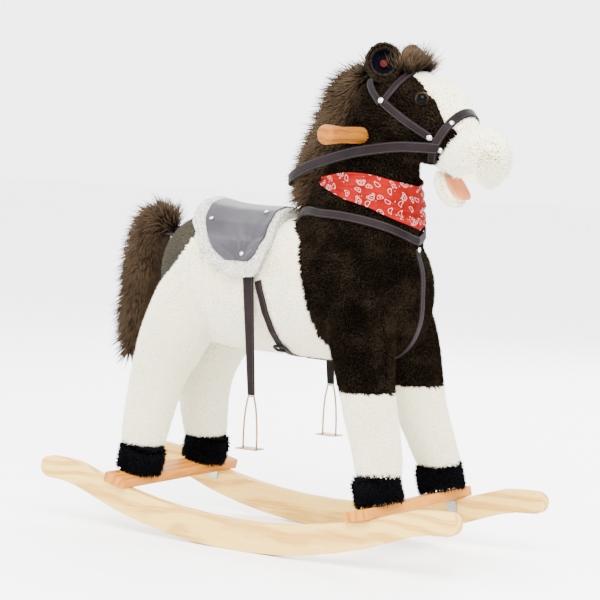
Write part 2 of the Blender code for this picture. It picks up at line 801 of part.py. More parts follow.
for end_name, end in ENDS.items():
    for side_name, side in SIDES.items():
        foot = on_plank(end, end * HOOF_FORWARD, side * HOOF_SPREAD[end_name], PLANK_THICKNESS + GAP)
        top_x, top_y = POST_TOP[end_name]
        head = Vector((top_x, side * top_y, BOARD_BOTTOM))
        reach = head - foot
        stand = reach.normalized() * (POST_RADIUS * 0.42)
        name = f"leg_post_{end_name}_{side_name}"
        stick = rod(name, foot + stand, head - reach.normalized() * (POST_RADIUS * 0.52), POST_RADIUS, 12)
        channel = rod("post_channel", foot - reach * 0.08, head + reach * 0.03, POST_RADIUS + RUNNING_GAP, 12)
        channels.append(as_cutter(channel, "post_channel"))
        finish(name, stick, FRAME_WOOD)

board_place = Matrix.Translation((BOARD_CENTRE_X, 0, BOARD_BOTTOM + BOARD_THICKNESS / 2))
board = box("body_board", (BOARD_LENGTH, BOARD_WIDTH, BOARD_THICKNESS), board_place)
finish("body_board", board, FRAME_WOOD)
pocket_size = [side + 2 * RUNNING_GAP for side in (BOARD_LENGTH, BOARD_WIDTH, BOARD_THICKNESS)]
board_pocket = as_cutter(box("board_pocket", pocket_size, board_place), "board_pocket")

board_top = BOARD_BOTTOM + BOARD_THICKNESS
neck_post_height = NECK_POST_TOP - board_top - GAP
post_middle = Matrix.Translation((NECK_POST_X, 0, board_top + GAP + neck_post_height / 2))
neck_post = box("neck_post", (NECK_POST_WIDTH, NECK_POST_WIDTH, neck_post_height), post_middle)
slot_width = NECK_POST_WIDTH + 2 * RUNNING_GAP
slot_middle = (NECK_POST_X, 0, (board_top - 0.004 + NECK_POST_TOP + RUNNING_GAP) / 2)
slot_size = (slot_width, slot_width, NECK_POST_TOP + RUNNING_GAP - board_top + 0.004)
neck_slot = as_cutter(box("neck_slot", slot_size, Matrix.Translation(slot_middle)), "neck_slot")

half = HANDLE_LENGTH / 2
handle_profile = [
    (0.0, half),
    (HANDLE_END_RADIUS * 0.72, half),
    (HANDLE_END_RADIUS, half - 0.006),
    (HANDLE_END_RADIUS * 0.97, half - 0.018),
    (HANDLE_WAIST_RADIUS, half - 0.048),
    (HANDLE_RADIUS, half - 0.076),
    (HANDLE_RADIUS, -half + 0.076),
    (HANDLE_WAIST_RADIUS, -half + 0.048),
    (HANDLE_END_RADIUS * 0.97, -half + 0.018),
    (HANDLE_END_RADIUS, -half + 0.006),
    (HANDLE_END_RADIUS * 0.72, -half),
    (0.0, -half),
]
handle_turn = Matrix.Rotation(math.radians(-90), 4, "X")
handle_frame = Matrix.Translation((NECK_POST_X, 0, HANDLE_HEIGHT)) @ handle_turn
finish("handle_bar", turned("handle_bar", handle_profile, 20, handle_frame), HANDLE_WOOD)
bore_reach = HANDLE_LENGTH / 2 - 0.060
handle_bore = rod(
    "handle_bore",
    (NECK_POST_X, -bore_reach, HANDLE_HEIGHT),
    (NECK_POST_X, bore_reach, HANDLE_HEIGHT),
    HANDLE_RADIUS + RUNNING_GAP,
    20,
)
as_cutter(handle_bore, "handle_bore")
cut(neck_post, handle_bore)
finish("neck_post", neck_post, FRAME_WOOD)

# ---- Padded body ----

torso_skin = surface_of([torso_rings()])
chest_skin = surface_of([torso_rings(), neck_rings()])
head_skin = surface_of([head_rings()])

torso_room = as_cutter(loft("torso_room", torso_rings(GAP * 1.5)), "torso_room")
head_room = as_cutter(loft("head_room", head_rings(GAP * 1.5)), "head_room")
neck_room = as_cutter(loft("neck_room", neck_rings(GAP * 1.5)), "neck_room")

sound_size = Vector(SOUND_BOX)
sound_z = BOARD_BOTTOM - GAP - sound_size.z / 2
sound_place = Matrix.Translation((SOUND_BOX_X, 0, sound_z))
finish("sound_box", box("sound_box", sound_size, sound_place), GREY_PLASTIC)
sound_room_size = (sound_size.x + 2 * RUNNING_GAP, sound_size.y + 2 * RUNNING_GAP, 0.080)
sound_room = box("sound_room", sound_room_size, Matrix.Translation((SOUND_BOX_X, 0, BOARD_BOTTOM - 0.038)))
as_cutter(sound_room, "sound_room")

tail_pin_from = Vector((TAIL_PIN_FROM_X, 0, TAIL_PIVOT_Z))
tail_pin_to = tail_pin_from - Vector((TAIL_PIN_LENGTH, 0, 0))
tail_pin = rod("tail_pin", tail_pin_from, tail_pin_to, TAIL_PIN_RADIUS, 16)
finish("tail_pin", tail_pin, STEEL)
tail_bore = rod(
    "tail_bore",
    tail_pin_from + Vector((RUNNING_GAP, 0, 0)),
    tail_pin_to - Vector((RUNNING_GAP, 0, 0)),
    TAIL_PIN_RADIUS + RUNNING_GAP,
    16,
)
as_cutter(tail_bore, "tail_bore")

torso = loft("torso", torso_rings())
cut(torso, board_pocket, neck_slot, *channels, sound_room, tail_bore)
finish("torso", torso, WHITE_PLUSH)

neck = loft("neck", neck_rings())
cut(neck, torso_room, head_room, neck_slot, handle_bore)
finish("neck", neck, BROWN_PLUSH)

LEG_STATIONS = {"front": FRONT_LEG_STATIONS, "rear": HIND_LEG_STATIONS}
for end_name, end in ENDS.items():
    for side_name, side in SIDES.items():
        slope_degrees = end * math.degrees(PLANK_SLOPE)
        leg = loft(f"leg_{end_name}_{side_name}", leg_rings(LEG_STATIONS[end_name], side, slope_degrees))
        sole = on_plank(end, end * HOOF_FORWARD, side * HOOF_SPREAD[end_name], PLANK_THICKNESS + HOOF_HEIGHT)
        room_side = 4 * HOOF_RADIUS
        room_place = axis_matrix(sole, plank_frame(end).to_3x3() @ Vector((0, 0, 1)))
        room_place = room_place @ Matrix.Translation((0, 0, 2 * GAP - room_side / 2))
        hoof_room = as_cutter(box("hoof_room", (room_side,) * 3, room_place), "hoof_room")
        cut(leg, torso_room, hoof_room, *channels)
        finish(f"leg_{end_name}_{side_name}", leg, WHITE_PLUSH)
        low = on_plank(end, end * HOOF_FORWARD, side * HOOF_SPREAD[end_name], PLANK_THICKNESS + GAP)
        up = plank_frame(end).to_3x3() @ Vector((0, 0, 1))
        profile = [
            (0.0, HOOF_HEIGHT),
            (HOOF_RADIUS * 0.94, HOOF_HEIGHT),
            (HOOF_RADIUS, HOOF_HEIGHT - 0.006),
            (HOOF_RADIUS, 0.005),
            (HOOF_RADIUS * 0.95, 0.0),
            (0.0, 0.0),
        ]
        hoof = to_mesh(turned(f"hoof_{end_name}_{side_name}", profile, 20, axis_matrix(low, up)))
        cut(hoof, *channels)
        finish(f"hoof_{end_name}_{side_name}", hoof, BLACK_PLUSH)

# ---- Head, jaw, eyes and ears ----

jaw_pivot = Vector((JAW_PIVOT[0], 0, JAW_PIVOT[1]))
pin_reach = Vector((0, JAW_PIN_LENGTH / 2, 0))
jaw_pin = rod("jaw_pin", jaw_pivot - pin_reach, jaw_pivot + pin_reach, JAW_PIN_RADIUS, 12)
finish("jaw_pin", jaw_pin, STEEL)
bore_reach = pin_reach + Vector((0, RUNNING_GAP, 0))
jaw_bore = rod("jaw_bore", jaw_pivot - bore_reach, jaw_pivot + bore_reach, JAW_PIN_RADIUS + RUNNING_GAP, 12)
as_cutter(jaw_bore, "jaw_bore")

arm_room_size = (0.0240, JAW_ARM_WIDTH + 4 * RUNNING_GAP, 0.0600)
arm_room_middle = jaw_pivot + Vector((0.0005, 0, 0.0095 - arm_room_size[2] / 2))
arm_room = as_cutter(box("arm_room", arm_room_size, Matrix.Translation(arm_room_middle)), "arm_room")

roof_start = Vector((MOUTH_ROOF[0][0], 0, MOUTH_ROOF[0][1]))
roof_run = Vector((MOUTH_ROOF[1][0], 0, MOUTH_ROOF[1][1])) - roof_start
roof_turn = Matrix.Rotation(math.atan2(-roof_run.z, roof_run.x), 4, "Y")
mouth_depth = 0.030
mouth_frame = Matrix.Translation(roof_start) @ roof_turn
mouth_frame = mouth_frame @ Matrix.Translation((roof_run.length / 2, 0, -mouth_depth / 2))
mouth_size = (roof_run.length, MOUTH_WIDTH, mouth_depth)
mouth_room = as_cutter(box("mouth_room", mouth_size, mouth_frame), "mouth_room")

head = loft("head", head_rings())
muzzle = sphere("muzzle", MUZZLE_CENTRE, MUZZLE_HALF_SIZE, 20, 12)
cut(muzzle, head_room, mouth_room, arm_room)
finish("muzzle", to_mesh(muzzle), WHITE_PLUSH)

eye_rooms = []
for side_name, side in SIDES.items():
    seat = drop_onto(head_skin, (EYE_X, side * 0.2, EYE_Z), (0, -side, 0))
    centre = seat - Vector((0, side * EYE_RADIUS * 0.45, 0))
    finish(f"eye_{side_name}", sphere("eye", centre, (EYE_RADIUS,) * 3, 14, 8), GLASS_EYE)
    room = sphere("eye_room", centre, (EYE_RADIUS + GAP,) * 3, 14, 8)
    eye_rooms.append(as_cutter(room, "eye_room"))
cut(head, arm_room, mouth_room, jaw_bore, *eye_rooms, neck_slot, handle_bore)
finish("head", head, BROWN_PLUSH)

jaw = loft("lower_jaw", swept_rings(JAW_STATIONS, 14))
lining_point = Vector((0.2750, 0, 0.5350))
lining_out = Vector((0.830, 0, 0.558)).normalized()
lining_frame = axis_matrix(lining_point, lining_out)
flat = box("lining_room", (0.09, 0.09, 0.04), lining_frame @ Matrix.Translation((0, 0, 0.02)))
cut(jaw, as_cutter(flat, "lining_room"), jaw_bore)
finish("lower_jaw", jaw, WHITE_PLUSH)
across_jaw, along_jaw, thick_jaw = JAW_LINING
lining_shape = bmesh.new()
bmesh.ops.create_cone(lining_shape, cap_ends=True, segments=24, radius1=1, radius2=1, depth=2)
bmesh.ops.scale(lining_shape, vec=Vector((1, 1, thick_jaw)), verts=lining_shape.verts)
lining_across = lining_frame.to_3x3().inverted() @ Vector((0, 1, 0))
lining_scale = (across_jaw, along_jaw) if abs(lining_across.x) > 0.5 else (along_jaw, across_jaw)
bmesh.ops.scale(lining_shape, vec=Vector((*lining_scale, 1)), verts=lining_shape.verts)
lining = from_bmesh(lining_shape, "mouth_lining")
lining.matrix_world = lining_frame @ Matrix.Translation((0, 0, thick_jaw + GAP))
finish("mouth_lining", lining, PINK_FELT)

ear_inner = EAR_RADIUS - EAR_WALL
for side_name, side in SIDES.items():
    lean = Vector((EAR_LEAN[0], side * EAR_LEAN[1], EAR_LEAN[2]))
    frame = axis_matrix((EAR_CENTRE[0], side * EAR_CENTRE[1], EAR_CENTRE[2]), lean)
    ear = sphere("ear", (0, 0, 0), (EAR_RADIUS, EAR_RADIUS * EAR_TALL, EAR_RADIUS * 0.62), 16, 10)
    ear.matrix_world = frame
    hollow = sphere("ear_hollow", (0, 0, 0), (ear_inner, ear_inner * EAR_TALL, 0.0200), 16, 10)
    hollow.matrix_world = frame @ Matrix.Translation((0, 0, EAR_FLOOR + 0.0200))
    cut(ear, as_cutter(hollow, "ear_hollow"), head_room)
    if side_name == "right":
        pocket_low = EAR_FLOOR - 0.0045
        pocket = rod("button_pocket", (0, 0, pocket_low), (0, 0, 0), EAR_BUTTON_RADIUS + RUNNING_GAP, 14)
        pocket.matrix_world = frame @ pocket.matrix_world
        ear = cut(to_mesh(ear), as_cutter(pocket, "button_pocket"))
        button_low = pocket_low + GAP + EAR_BUTTON_TRAVEL
        button = rod("ear_button", (0, 0, 0), (0, 0, EAR_BUTTON_HEIGHT), EAR_BUTTON_RADIUS, 16)
        button.matrix_world = frame @ Matrix.Translation((0, 0, button_low))
        finish("ear_button", button, BUTTON_RED)
    finish(f"ear_{side_name}", ear, BROWN_PLUSH)

# ---- Straps, saddle and neckerchief ----



def torso_point(x, degrees):
    angle = math.radians(degrees)
    out = Vector((0, math.sin(angle), math.cos(angle)))
    centre = Vector((x, 0, BARREL_CENTRE_Z))
    return drop_onto(torso_skin, centre + out * 0.4, -out), out


def smooth_step(value, low, high):
    share = min(max((value - low) / (high - low), 0.0), 1.0)
    return share * share * (3 - 2 * share)


def saddle_layer(name, outline_rows, low_of, high_of, material, across=7):
    """Sheet draped over the back between two heights above the padding, given by angle and x."""
    side_rows = through_points(outline_rows, 3)
    rows = [(-a, rear, front) for a, rear, front in reversed(side_rows)] + side_rows[1:]
    lower, upper = [], []
    for degrees, rear, front in rows:
        low_row, high_row = [], []
        for k in range(across):
            x = rear + (front - rear) * k / (across - 1)
            point, out = torso_point(x, degrees)
            low_row.append(point + out * low_of(abs(degrees), x))
            high_row.append(point + out * high_of(abs(degrees), x))
        lower.append(low_row)
        upper.append(high_row)
    rings = [low + list(reversed(high)) for low, high in zip(lower, upper)]
    return finish(name, loft(name, rings), material)


def fleece_low(degrees, x):
    return 0.0012 + (FLAP_GAP - 0.0012) * smooth_step(degrees, 45, 66)


def seat_rise(degrees, x):
    """Padding under the seat: highest behind, in the cantle, and lower in the middle."""
    share = (x - SEAT_MIDDLE_X) / SEAT_HALF_LENGTH
    dish = 0.40 + 0.60 * share**2 if share < 0 else 0.40 + 0.20 * share**2
    return SEAT_RISE * dish * (1 - smooth_step(degrees, 12, 48))


def fleece_high(degrees, x):
    return fleece_low(degrees, x) + SADDLE_FLEECE_THICKNESS + seat_rise(degrees, x)


def cover_low(degrees, x):
    return fleece_high(degrees, x) + 0.0010


def cover_high(degrees, x):
    return cover_low(degrees, x) + SADDLE_COVER_THICKNESS


saddle_layer("saddle_fleece", FLEECE_OUTLINE, fleece_low, fleece_high, FLEECE)
saddle_layer("saddle_cover", COVER_OUTLINE, cover_low, cover_high, VINYL)

half_path = through_points(GIRTH, 4)
girth_rows = half_path + [(360 - a, x) for a, x in reversed(half_path[:-1])]
girth_path = []
for degrees, x in girth_rows:
    angle = math.radians(degrees)
    out = Vector((0, math.sin(angle), math.cos(angle)))
    girth_path.append((Vector((x, 0, BARREL_CENTRE_Z)) + out * 0.4, -out))
strap("girth_strap", laid_rails(torso_skin, girth_path, GIRTH_WIDTH), lift=GIRTH_LIFT)

crupper_path = []
for x in [-0.1520 - 0.0047 * k for k in range(9)]:
    crupper_path.append((Vector((x, 0, 0.7)), Vector((0, 0, -1))))
strap("crupper_strap", laid_rails(torso_skin, crupper_path, 0.014))

collar_half = through_points(COLLAR, 3)
collar_rows = [(x, -y, z) for x, y, z in collar_half] + [(x, y, z) for x, y, z in reversed(collar_half[:-1])]
collar_path = []
for x, y, z in collar_rows:
    out = Vector((x - COLLAR_CENTRE_X, y, 0)).normalized()
    if x < 0.08:
        out = Vector((-0.15, math.copysign(1.0, y), 0.9)).normalized()
    elif x < 0.14:
        out = (out * 0.6 + Vector((0, math.copysign(1.0, y), 0.35))).normalized()
    collar_path.append((Vector((x, y, z)) + out * 0.2, -out))
strap("breast_collar", laid_rails(chest_skin, collar_path, COLLAR_WIDTH), lift=COLLAR_LIFT)

chest_path = []
for z, out_x, out_z in through_points(CHEST_STRAP, 3):
    out = Vector((out_x, 0, out_z)).normalized()
    chest_path.append((Vector((0.16, 0, z)) + out * 0.3, -out))
for x in BELLY_STRAP_X:
    chest_path.append((Vector((x, 0, 0.1)), Vector((0, 0, 1))))
strap("chest_strap", laid_rails(chest_skin, chest_path, CHEST_STRAP_WIDTH), lift=CHEST_STRAP_LIFT)

slope = math.radians(HEAD_SLOPE)
noseband_rails = ring_rails(
    head_skin,
    Vector((NOSEBAND_CENTRE[0], 0, NOSEBAND_CENTRE[1])),
    Vector((0, 1, 0)),
    Vector((math.sin(slope), 0, math.cos(slope))),
    BRIDLE_WIDTH,
    30,
    -NOSEBAND_DROP,
    math.pi + NOSEBAND_DROP,
)
strap("noseband", noseband_rails)

CHEEK_LOW = (0.2573, 0.6047)
for side_name, side in SIDES.items():
    path = []
    for k in range(6):
        share = 0.14 + 0.74 * k / 5
        x = CHEEK_TOP[0] + (CHEEK_LOW[0] - CHEEK_TOP[0]) * share
        z = CHEEK_TOP[1] + (CHEEK_LOW[1] - CHEEK_TOP[1]) * share
        path.append((Vector((x, side * 0.2, z)), Vector((0, -side, 0))))
    strap(f"cheek_strap_{side_name}", laid_rails(head_skin, path, BRIDLE_WIDTH))


def over_head(name, side_x, side_z, top_x, top_z, width, lift=STRAP_LIFT):
    """Strap over the top of the head from one cheek rivet to the other."""
    path = []
    steps = 18
    for k in range(steps + 1):
        angle = math.radians(-84 + 168 * k / steps)
        share = math.cos(angle)
        x = side_x + (top_x - side_x) * share
        z = side_z + (top_z - 0.055 - side_z) * share
        out = Vector((0, math.sin(angle), math.cos(angle)))
        path.append((Vector((x, 0, z)) + out * 0.3, -out))
    return strap(name, laid_rails(head_skin, path, width), lift=lift)


over_head("browband", 0.1930, 0.6560, 0.2080, 0.6900, 0.0110)
over_head("crown_strap", 0.1760, 0.6540, 0.1400, 0.6860, 0.0110, CROWN_LIFT)

rein_half = through_points(REINS_ROUTE, 3)
rein_rows = rein_half + [(x, -y, z) for x, y, z in reversed(rein_half[:-1])]
rein_rings = []
for index, (x, y, z) in enumerate(rein_rows):
    before = Vector(rein_rows[max(index - 1, 0)])
    after = Vector(rein_rows[min(index + 1, len(rein_rows) - 1)])
    run = (after - before).normalized()
    out = run.cross(Vector((0, 0, 1))).normalized()
    half_wide = run.cross(out).normalized() * (REINS_WIDTH / 2)
    thick = out * (STRAP_THICKNESS / 2)
    spot = Vector((x, y, z))
    top, low = spot + half_wide, spot - half_wide
    rein_rings.append([top + thick, low + thick, low - thick, top - thick])
finish("reins", loft("reins", rein_rings), STRAP, 30.0)

kerchief_half = through_points(KERCHIEF, 3)
kerchief_rows = [(-a, z, w) for a, z, w in reversed(kerchief_half)] + kerchief_half[1:]
kerchief_rings = []
for degrees, z, width in kerchief_rows:
    angle = math.radians(degrees)
    out = Vector((math.cos(angle), math.sin(angle), 0))
    inner, outer = [], []
    for k in range(3):
        height = z + width * (k / 2 - 0.5)
        point = drop_onto(chest_skin, Vector((KERCHIEF_AXIS_X, 0, height)) + out * 0.3, -out)
        inner.append(point + out * KERCHIEF_LIFT)
        outer.append(point + out * (KERCHIEF_LIFT + KERCHIEF_THICKNESS))
    kerchief_rings.append(inner + list(reversed(outer)))
finish("neckerchief", loft("neckerchief", kerchief_rings), RED_CLOTH)

# ---- Mane, forelock and tail ----

kerchief_room = loft("kerchief_room", neck_rings(0.0042))
as_cutter(kerchief_room, "kerchief_room")
head_clear = as_cutter(loft("head_clear", head_rings(CROWN_LIFT + STRAP_THICKNESS + 0.0010)), "head_clear")
torso_clear = as_cutter(loft("torso_clear", torso_rings(0.0006)), "torso_clear")
mane = loft("mane", swept_rings(MANE_STATIONS, 14))
cut(mane, kerchief_room, head_clear, torso_clear)
finish("mane", mane, HAIR)

tail = loft("tail", swept_rings(TAIL_STATIONS, 14))
cut(tail, tail_bore)
finish("tail", tail, HAIR)

# ---- Stirrups ----

for side_name, side in SIDES.items():
    hang_y = side * (max(row[3] for row in TORSO_STATIONS) + 0.0040 + STIRRUP_STRAP_THICKNESS / 2)
    top_z = STIRRUP_PIVOT_Z
    low_z = top_z - STIRRUP_STRAP_LENGTH
    top_half = STIRRUP_STRAP_TOP_WIDTH / 2
    low_half = STIRRUP_STRAP_BOTTOM_WIDTH / 2
    shape = []
    for k in range(9):
        angle = math.radians(180 * k / 8)
        shape.append((top_half * math.cos(angle), top_half * math.sin(angle)))
    lean = STIRRUP_STRAP_LEAN
    shape += [(lean - low_half, -STIRRUP_STRAP_LENGTH), (lean + low_half, -STIRRUP_STRAP_LENGTH)]
    place = Matrix.Translation((STIRRUP_PIVOT_X, hang_y, top_z)) @ upright_turn()
    hanger = outline(f"stirrup_strap_{side_name}", shape, STIRRUP_STRAP_THICKNESS, place, 0)
    finish(f"stirrup_strap_{side_name}", hanger, STRAP)
    wire_top = Vector((STIRRUP_PIVOT_X + lean, hang_y, low_z - GAP - STIRRUP_WIRE_RADIUS))
    plate_z = wire_top.z - STIRRUP_HEIGHT
    curve = bpy.data.curves.new("stirrup", "CURVE")
    curve.dimensions = "3D"
    curve.bevel_depth = STIRRUP_WIRE_RADIUS
    curve.bevel_resolution = 2
    curve.use_fill_caps = True
    bow = [(-STIRRUP_BAR_HALF, 0.0), (STIRRUP_BAR_HALF, 0.0)]
    side_bow = [*STIRRUP_BOW, (STIRRUP_BOW[-1][0], -STIRRUP_HEIGHT)]
    points = [(-x, z) for x, z in reversed(side_bow)] + bow + side_bow
    line = curve.splines.new("POLY")
    line.points.add(len(points) - 1)
    for knot, (x, z) in zip(line.points, points):
        knot.co = (x, 0, z, 1)
    wire = bpy.data.objects.new("stirrup", curve)
    bpy.context.scene.collection.objects.link(wire)
    wire.matrix_world = Matrix.Translation(wire_top)
    wire = to_mesh(wire)
    plate_place = Matrix.Translation((wire_top.x, hang_y, plate_z))
    plate = as_cutter(box("foot_plate", STIRRUP_PLATE, plate_place), "foot_plate")
    combine(wire, plate, "UNION")
    finish(f"stirrup_{side_name}", wire, BRASS)
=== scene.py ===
import json
import math
import bpy
import bmesh
import numpy as np
from mathutils import Matrix, Vector
from mathutils.bvhtree import BVHTree
from mathutils.kdtree import KDTree

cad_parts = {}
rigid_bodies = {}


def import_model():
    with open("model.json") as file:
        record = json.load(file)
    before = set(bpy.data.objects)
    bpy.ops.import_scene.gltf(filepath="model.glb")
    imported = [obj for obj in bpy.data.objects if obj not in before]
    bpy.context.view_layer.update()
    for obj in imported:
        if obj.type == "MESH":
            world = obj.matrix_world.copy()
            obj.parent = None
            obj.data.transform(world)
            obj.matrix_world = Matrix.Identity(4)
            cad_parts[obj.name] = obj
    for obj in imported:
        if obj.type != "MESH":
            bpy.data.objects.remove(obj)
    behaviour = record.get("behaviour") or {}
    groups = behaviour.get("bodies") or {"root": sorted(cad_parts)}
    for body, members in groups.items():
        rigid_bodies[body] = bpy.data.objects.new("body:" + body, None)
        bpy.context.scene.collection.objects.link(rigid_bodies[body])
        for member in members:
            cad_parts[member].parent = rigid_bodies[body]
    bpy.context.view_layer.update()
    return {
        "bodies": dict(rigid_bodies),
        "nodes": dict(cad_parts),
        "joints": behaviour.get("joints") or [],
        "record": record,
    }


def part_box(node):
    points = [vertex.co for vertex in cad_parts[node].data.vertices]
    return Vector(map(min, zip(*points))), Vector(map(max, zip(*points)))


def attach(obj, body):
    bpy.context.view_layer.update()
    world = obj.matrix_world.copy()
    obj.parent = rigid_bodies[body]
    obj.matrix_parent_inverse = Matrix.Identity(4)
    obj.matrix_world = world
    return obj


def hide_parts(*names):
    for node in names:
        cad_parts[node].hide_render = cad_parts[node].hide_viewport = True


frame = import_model()
nodes = frame["nodes"]
sides = {"right": -1, "left": 1}

# camera, floor and lights

camera = {"place": (1.848, -2.663, 0.6136), "yaw": -0.6032, "pitch": -0.0788, "roll": 0.03, "lens": 131.53}
light = {
    "key": {"place": (1.6, -2.0, 2.3), "size": 1.8, "power": 400, "color": (1.0, 0.985, 0.96)},
    "side": {"place": (-2.2, -1.4, 1.4), "size": 1.8, "power": 90, "color": (0.95, 0.98, 1.0)},
    "back": {"place": (-0.4, 2.2, 1.9), "size": 2.2, "power": 150, "color": (1.0, 1.0, 1.0)},
}


def setUpCamera():
    yaw, pitch, roll = camera["yaw"], camera["pitch"], camera["roll"]
    ahead = Vector((math.sin(yaw) * math.cos(pitch), math.cos(yaw) * math.cos(pitch), math.sin(pitch)))
    right = Vector((math.cos(yaw), -math.sin(yaw), 0))
    up = right.cross(ahead)
    turnedRight = right * math.cos(roll) + up * math.sin(roll)
    turnedUp = up * math.cos(roll) - right * math.sin(roll)
    lens = bpy.data.cameras.new("camera")
    lens.lens = camera["lens"]
    lens.sensor_width = 36
    lens.clip_end = 50
    holder = bpy.data.objects.new("camera", lens)
    bpy.context.scene.collection.objects.link(holder)
    turn = Matrix((turnedRight, turnedUp, -ahead)).transposed().to_4x4()
    holder.matrix_world = Matrix.Translation(camera["place"]) @ turn
    bpy.context.scene.camera = holder


def setUpStage():
    shape = bmesh.new()
    bmesh.ops.create_grid(shape, x_segments=1, y_segments=1, size=14)
    mesh = bpy.data.meshes.new("floor")
    shape.to_mesh(mesh)
    shape.free()
    floor = bpy.data.objects.new("floor", mesh)
    bpy.context.scene.collection.objects.link(floor)
    paint = bpy.data.materials.new("floorPaint")
    paint.use_nodes = True
    surface = paint.node_tree.nodes["Principled BSDF"]
    surface.inputs["Base Color"].default_value = (0.93, 0.93, 0.935, 1)
    surface.inputs["Roughness"].default_value = 0.55
    mesh.materials.append(paint)
    world = bpy.data.worlds.new("studio")
    world.use_nodes = True
    world.node_tree.nodes["Background"].inputs["Color"].default_value = (1, 1, 1, 1)
    world.node_tree.nodes["Background"].inputs["Strength"].default_value = 4.6
    bpy.context.scene.world = world
    for name, values in light.items():
        lamp = bpy.data.lights.new(name, "AREA")
        lamp.size = values["size"]
        lamp.energy = values["power"]
        lamp.color = values["color"]
        holder = bpy.data.objects.new(name, lamp)
        bpy.context.scene.collection.objects.link(holder)
        place = Vector(values["place"])
        aim = (Vector((0, 0, 0.35)) - place).to_track_quat("-Z", "Y")
        holder.matrix_world = Matrix.Translation(place) @ aim.to_matrix().to_4x4()


setUpCamera()
setUpStage()
print("stage ready")

# node trees


class Value:  # a socket that takes arithmetic
    def __init__(self, graph, socket):
        self.graph, self.socket = graph, socket

    def __add__(self, other): return self.graph.math("ADD", self, other)
    def __radd__(self, other): return self.graph.math("ADD", other, self)
    def __sub__(self, other): return self.graph.math("SUBTRACT", self, other)
    def __rsub__(self, other): return self.graph.math("SUBTRACT", other, self)
    def __mul__(self, other): return self.graph.math("MULTIPLY", self, other)
    def __rmul__(self, other): return self.graph.math("MULTIPLY", other, self)
    def __abs__(self): return self.graph.math("ABSOLUTE", self)


class Graph:  # a node tree under construction
    def __init__(self, tree):
        self.tree = tree

    def feed(self, slot, value):
        if isinstance(value, Value):
            self.tree.links.new(value.socket, slot)
        elif hasattr(value, "__len__") and not isinstance(value, str) and len(value) == 3 and slot.type == "RGBA":
            slot.default_value = (*value, 1)
        else:
            slot.default_value = value

    def add(self, kind, settings=None, inputs=None, out=0):
        step = self.tree.nodes.new(kind)
        for label, value in (settings or {}).items():
            setattr(step, label, value)
        for label, value in (inputs or {}).items():
            self.feed(step.inputs[label], value)
        return Value(self, step.outputs[out])

    def math(self, operation, *values):
        return self.add("ShaderNodeMath", {"operation": operation}, dict(enumerate(values)))

    def vector(self, operation, *values, out=0):
        return self.add("ShaderNodeVectorMath", {"operation": operation}, dict(enumerate(values)), out)

    def scaled(self, value, factor):
        return self.add("ShaderNodeVectorMath", {"operation": "SCALE"}, {0: value, "Scale": factor})


class Shade(Graph):  # one material
    def __init__(self, name, fixed):
        self.material = bpy.data.materials.new(name)
        self.material.use_nodes = True
        super().__init__(self.material.node_tree)
        self.surface = self.tree.nodes["Principled BSDF"]
        for label, value in fixed.items():
            self.feed(self.surface.inputs[label], value)

    def place(self, scale=(1, 1, 1), turn=(0, 0, 0)):
        spot = self.add("ShaderNodeTexCoord", out="Object")
        return self.add("ShaderNodeMapping", None, {"Vector": spot, "Scale": scale, "Rotation": turn})

    def noise(self, where, scale, detail=3.0, roughness=0.5, out=0):
        inputs = {"Vector": where, "Scale": scale, "Detail": detail, "Roughness": roughness}
        return self.add("ShaderNodeTexNoise", None, inputs, out)

    def attribute(self, name, out="Fac"):
        return self.add("ShaderNodeAttribute", {"attribute_name": name}, None, out)

    def mix(self, factor, first, second, blend="MIX"):
        return self.add("ShaderNodeMix", {"data_type": "RGBA", "blend_type": blend}, {0: factor, 6: first, 7: second},
                        2)

    def span(self, value, low, high, start=0.0, end=1.0):
        inputs = {"Value": value, 1: low, 2: high, 3: start, 4: end}
        return self.add("ShaderNodeMapRange", {"clamp": True, "interpolation_type": "SMOOTHSTEP"}, inputs)

    def bump(self, height, distance, strength=1.0, normal=None):
        inputs = {"Height": height, "Distance": distance, "Strength": strength}
        if normal:
            inputs["Normal"] = normal
        return self.add("ShaderNodeBump", None, inputs)

    def finish(self, **links):
        for label, value in links.items():
            self.feed(self.surface.inputs[label.replace("_", " ")], value)
        return self.material


def newGrowth(name, inputs):  # empty Geometry Nodes group with named inputs
    tree = bpy.data.node_groups.new(name, "GeometryNodeTree")
    tree.interface.new_socket("Geometry", in_out="INPUT", socket_type="NodeSocketGeometry")
    for label, kind in inputs.items():
        tree.interface.new_socket(label, in_out="INPUT", socket_type="NodeSocket" + kind)
    tree.interface.new_socket("Geometry", in_out="OUTPUT", socket_type="NodeSocketGeometry")
    graph = Graph(tree)
    source = tree.nodes.new("NodeGroupInput")
    graph.given = {label: Value(graph, source.outputs[label]) for label in ("Geometry", *inputs)}
    return graph


def endGrowth(graph, geometry, material):
    real = graph.add("GeometryNodeRealizeInstances", None, {"Geometry": geometry})
    done = graph.add("GeometryNodeSetMaterial", None, {"Geometry": real, "Material": material})
    sink = graph.tree.nodes.new("NodeGroupOutput")
    graph.tree.links.new(done.socket, sink.inputs["Geometry"])
    return graph.tree


def plain(source, name=None):  # replaces an object by the mesh it shows
    bpy.context.view_layer.update()
    graph = bpy.context.evaluated_depsgraph_get()
    mesh = bpy.data.meshes.new_from_object(source.evaluated_get(graph))
    mesh.transform(source.matrix_world)
    label = name or source.name
    bpy.data.objects.remove(source, do_unlink=True)
    return asObject(label, mesh)


def asObject(name, mesh):
    mesh.name = name
    made = bpy.data.objects.new(name, mesh)
    bpy.context.scene.collection.objects.link(made)
    return made


def grow(source, tree, values, name):  # runs a Geometry Nodes group on an object and keeps the plain result
    change = source.modifiers.new("growth", "NODES")
    change.node_group = tree
    for item in tree.interface.items_tree:
        if item.item_type == "SOCKET" and item.in_out == "INPUT" and item.name in values:
            change[item.identifier] = values[item.name]
    return plain(source, name)


# shapes


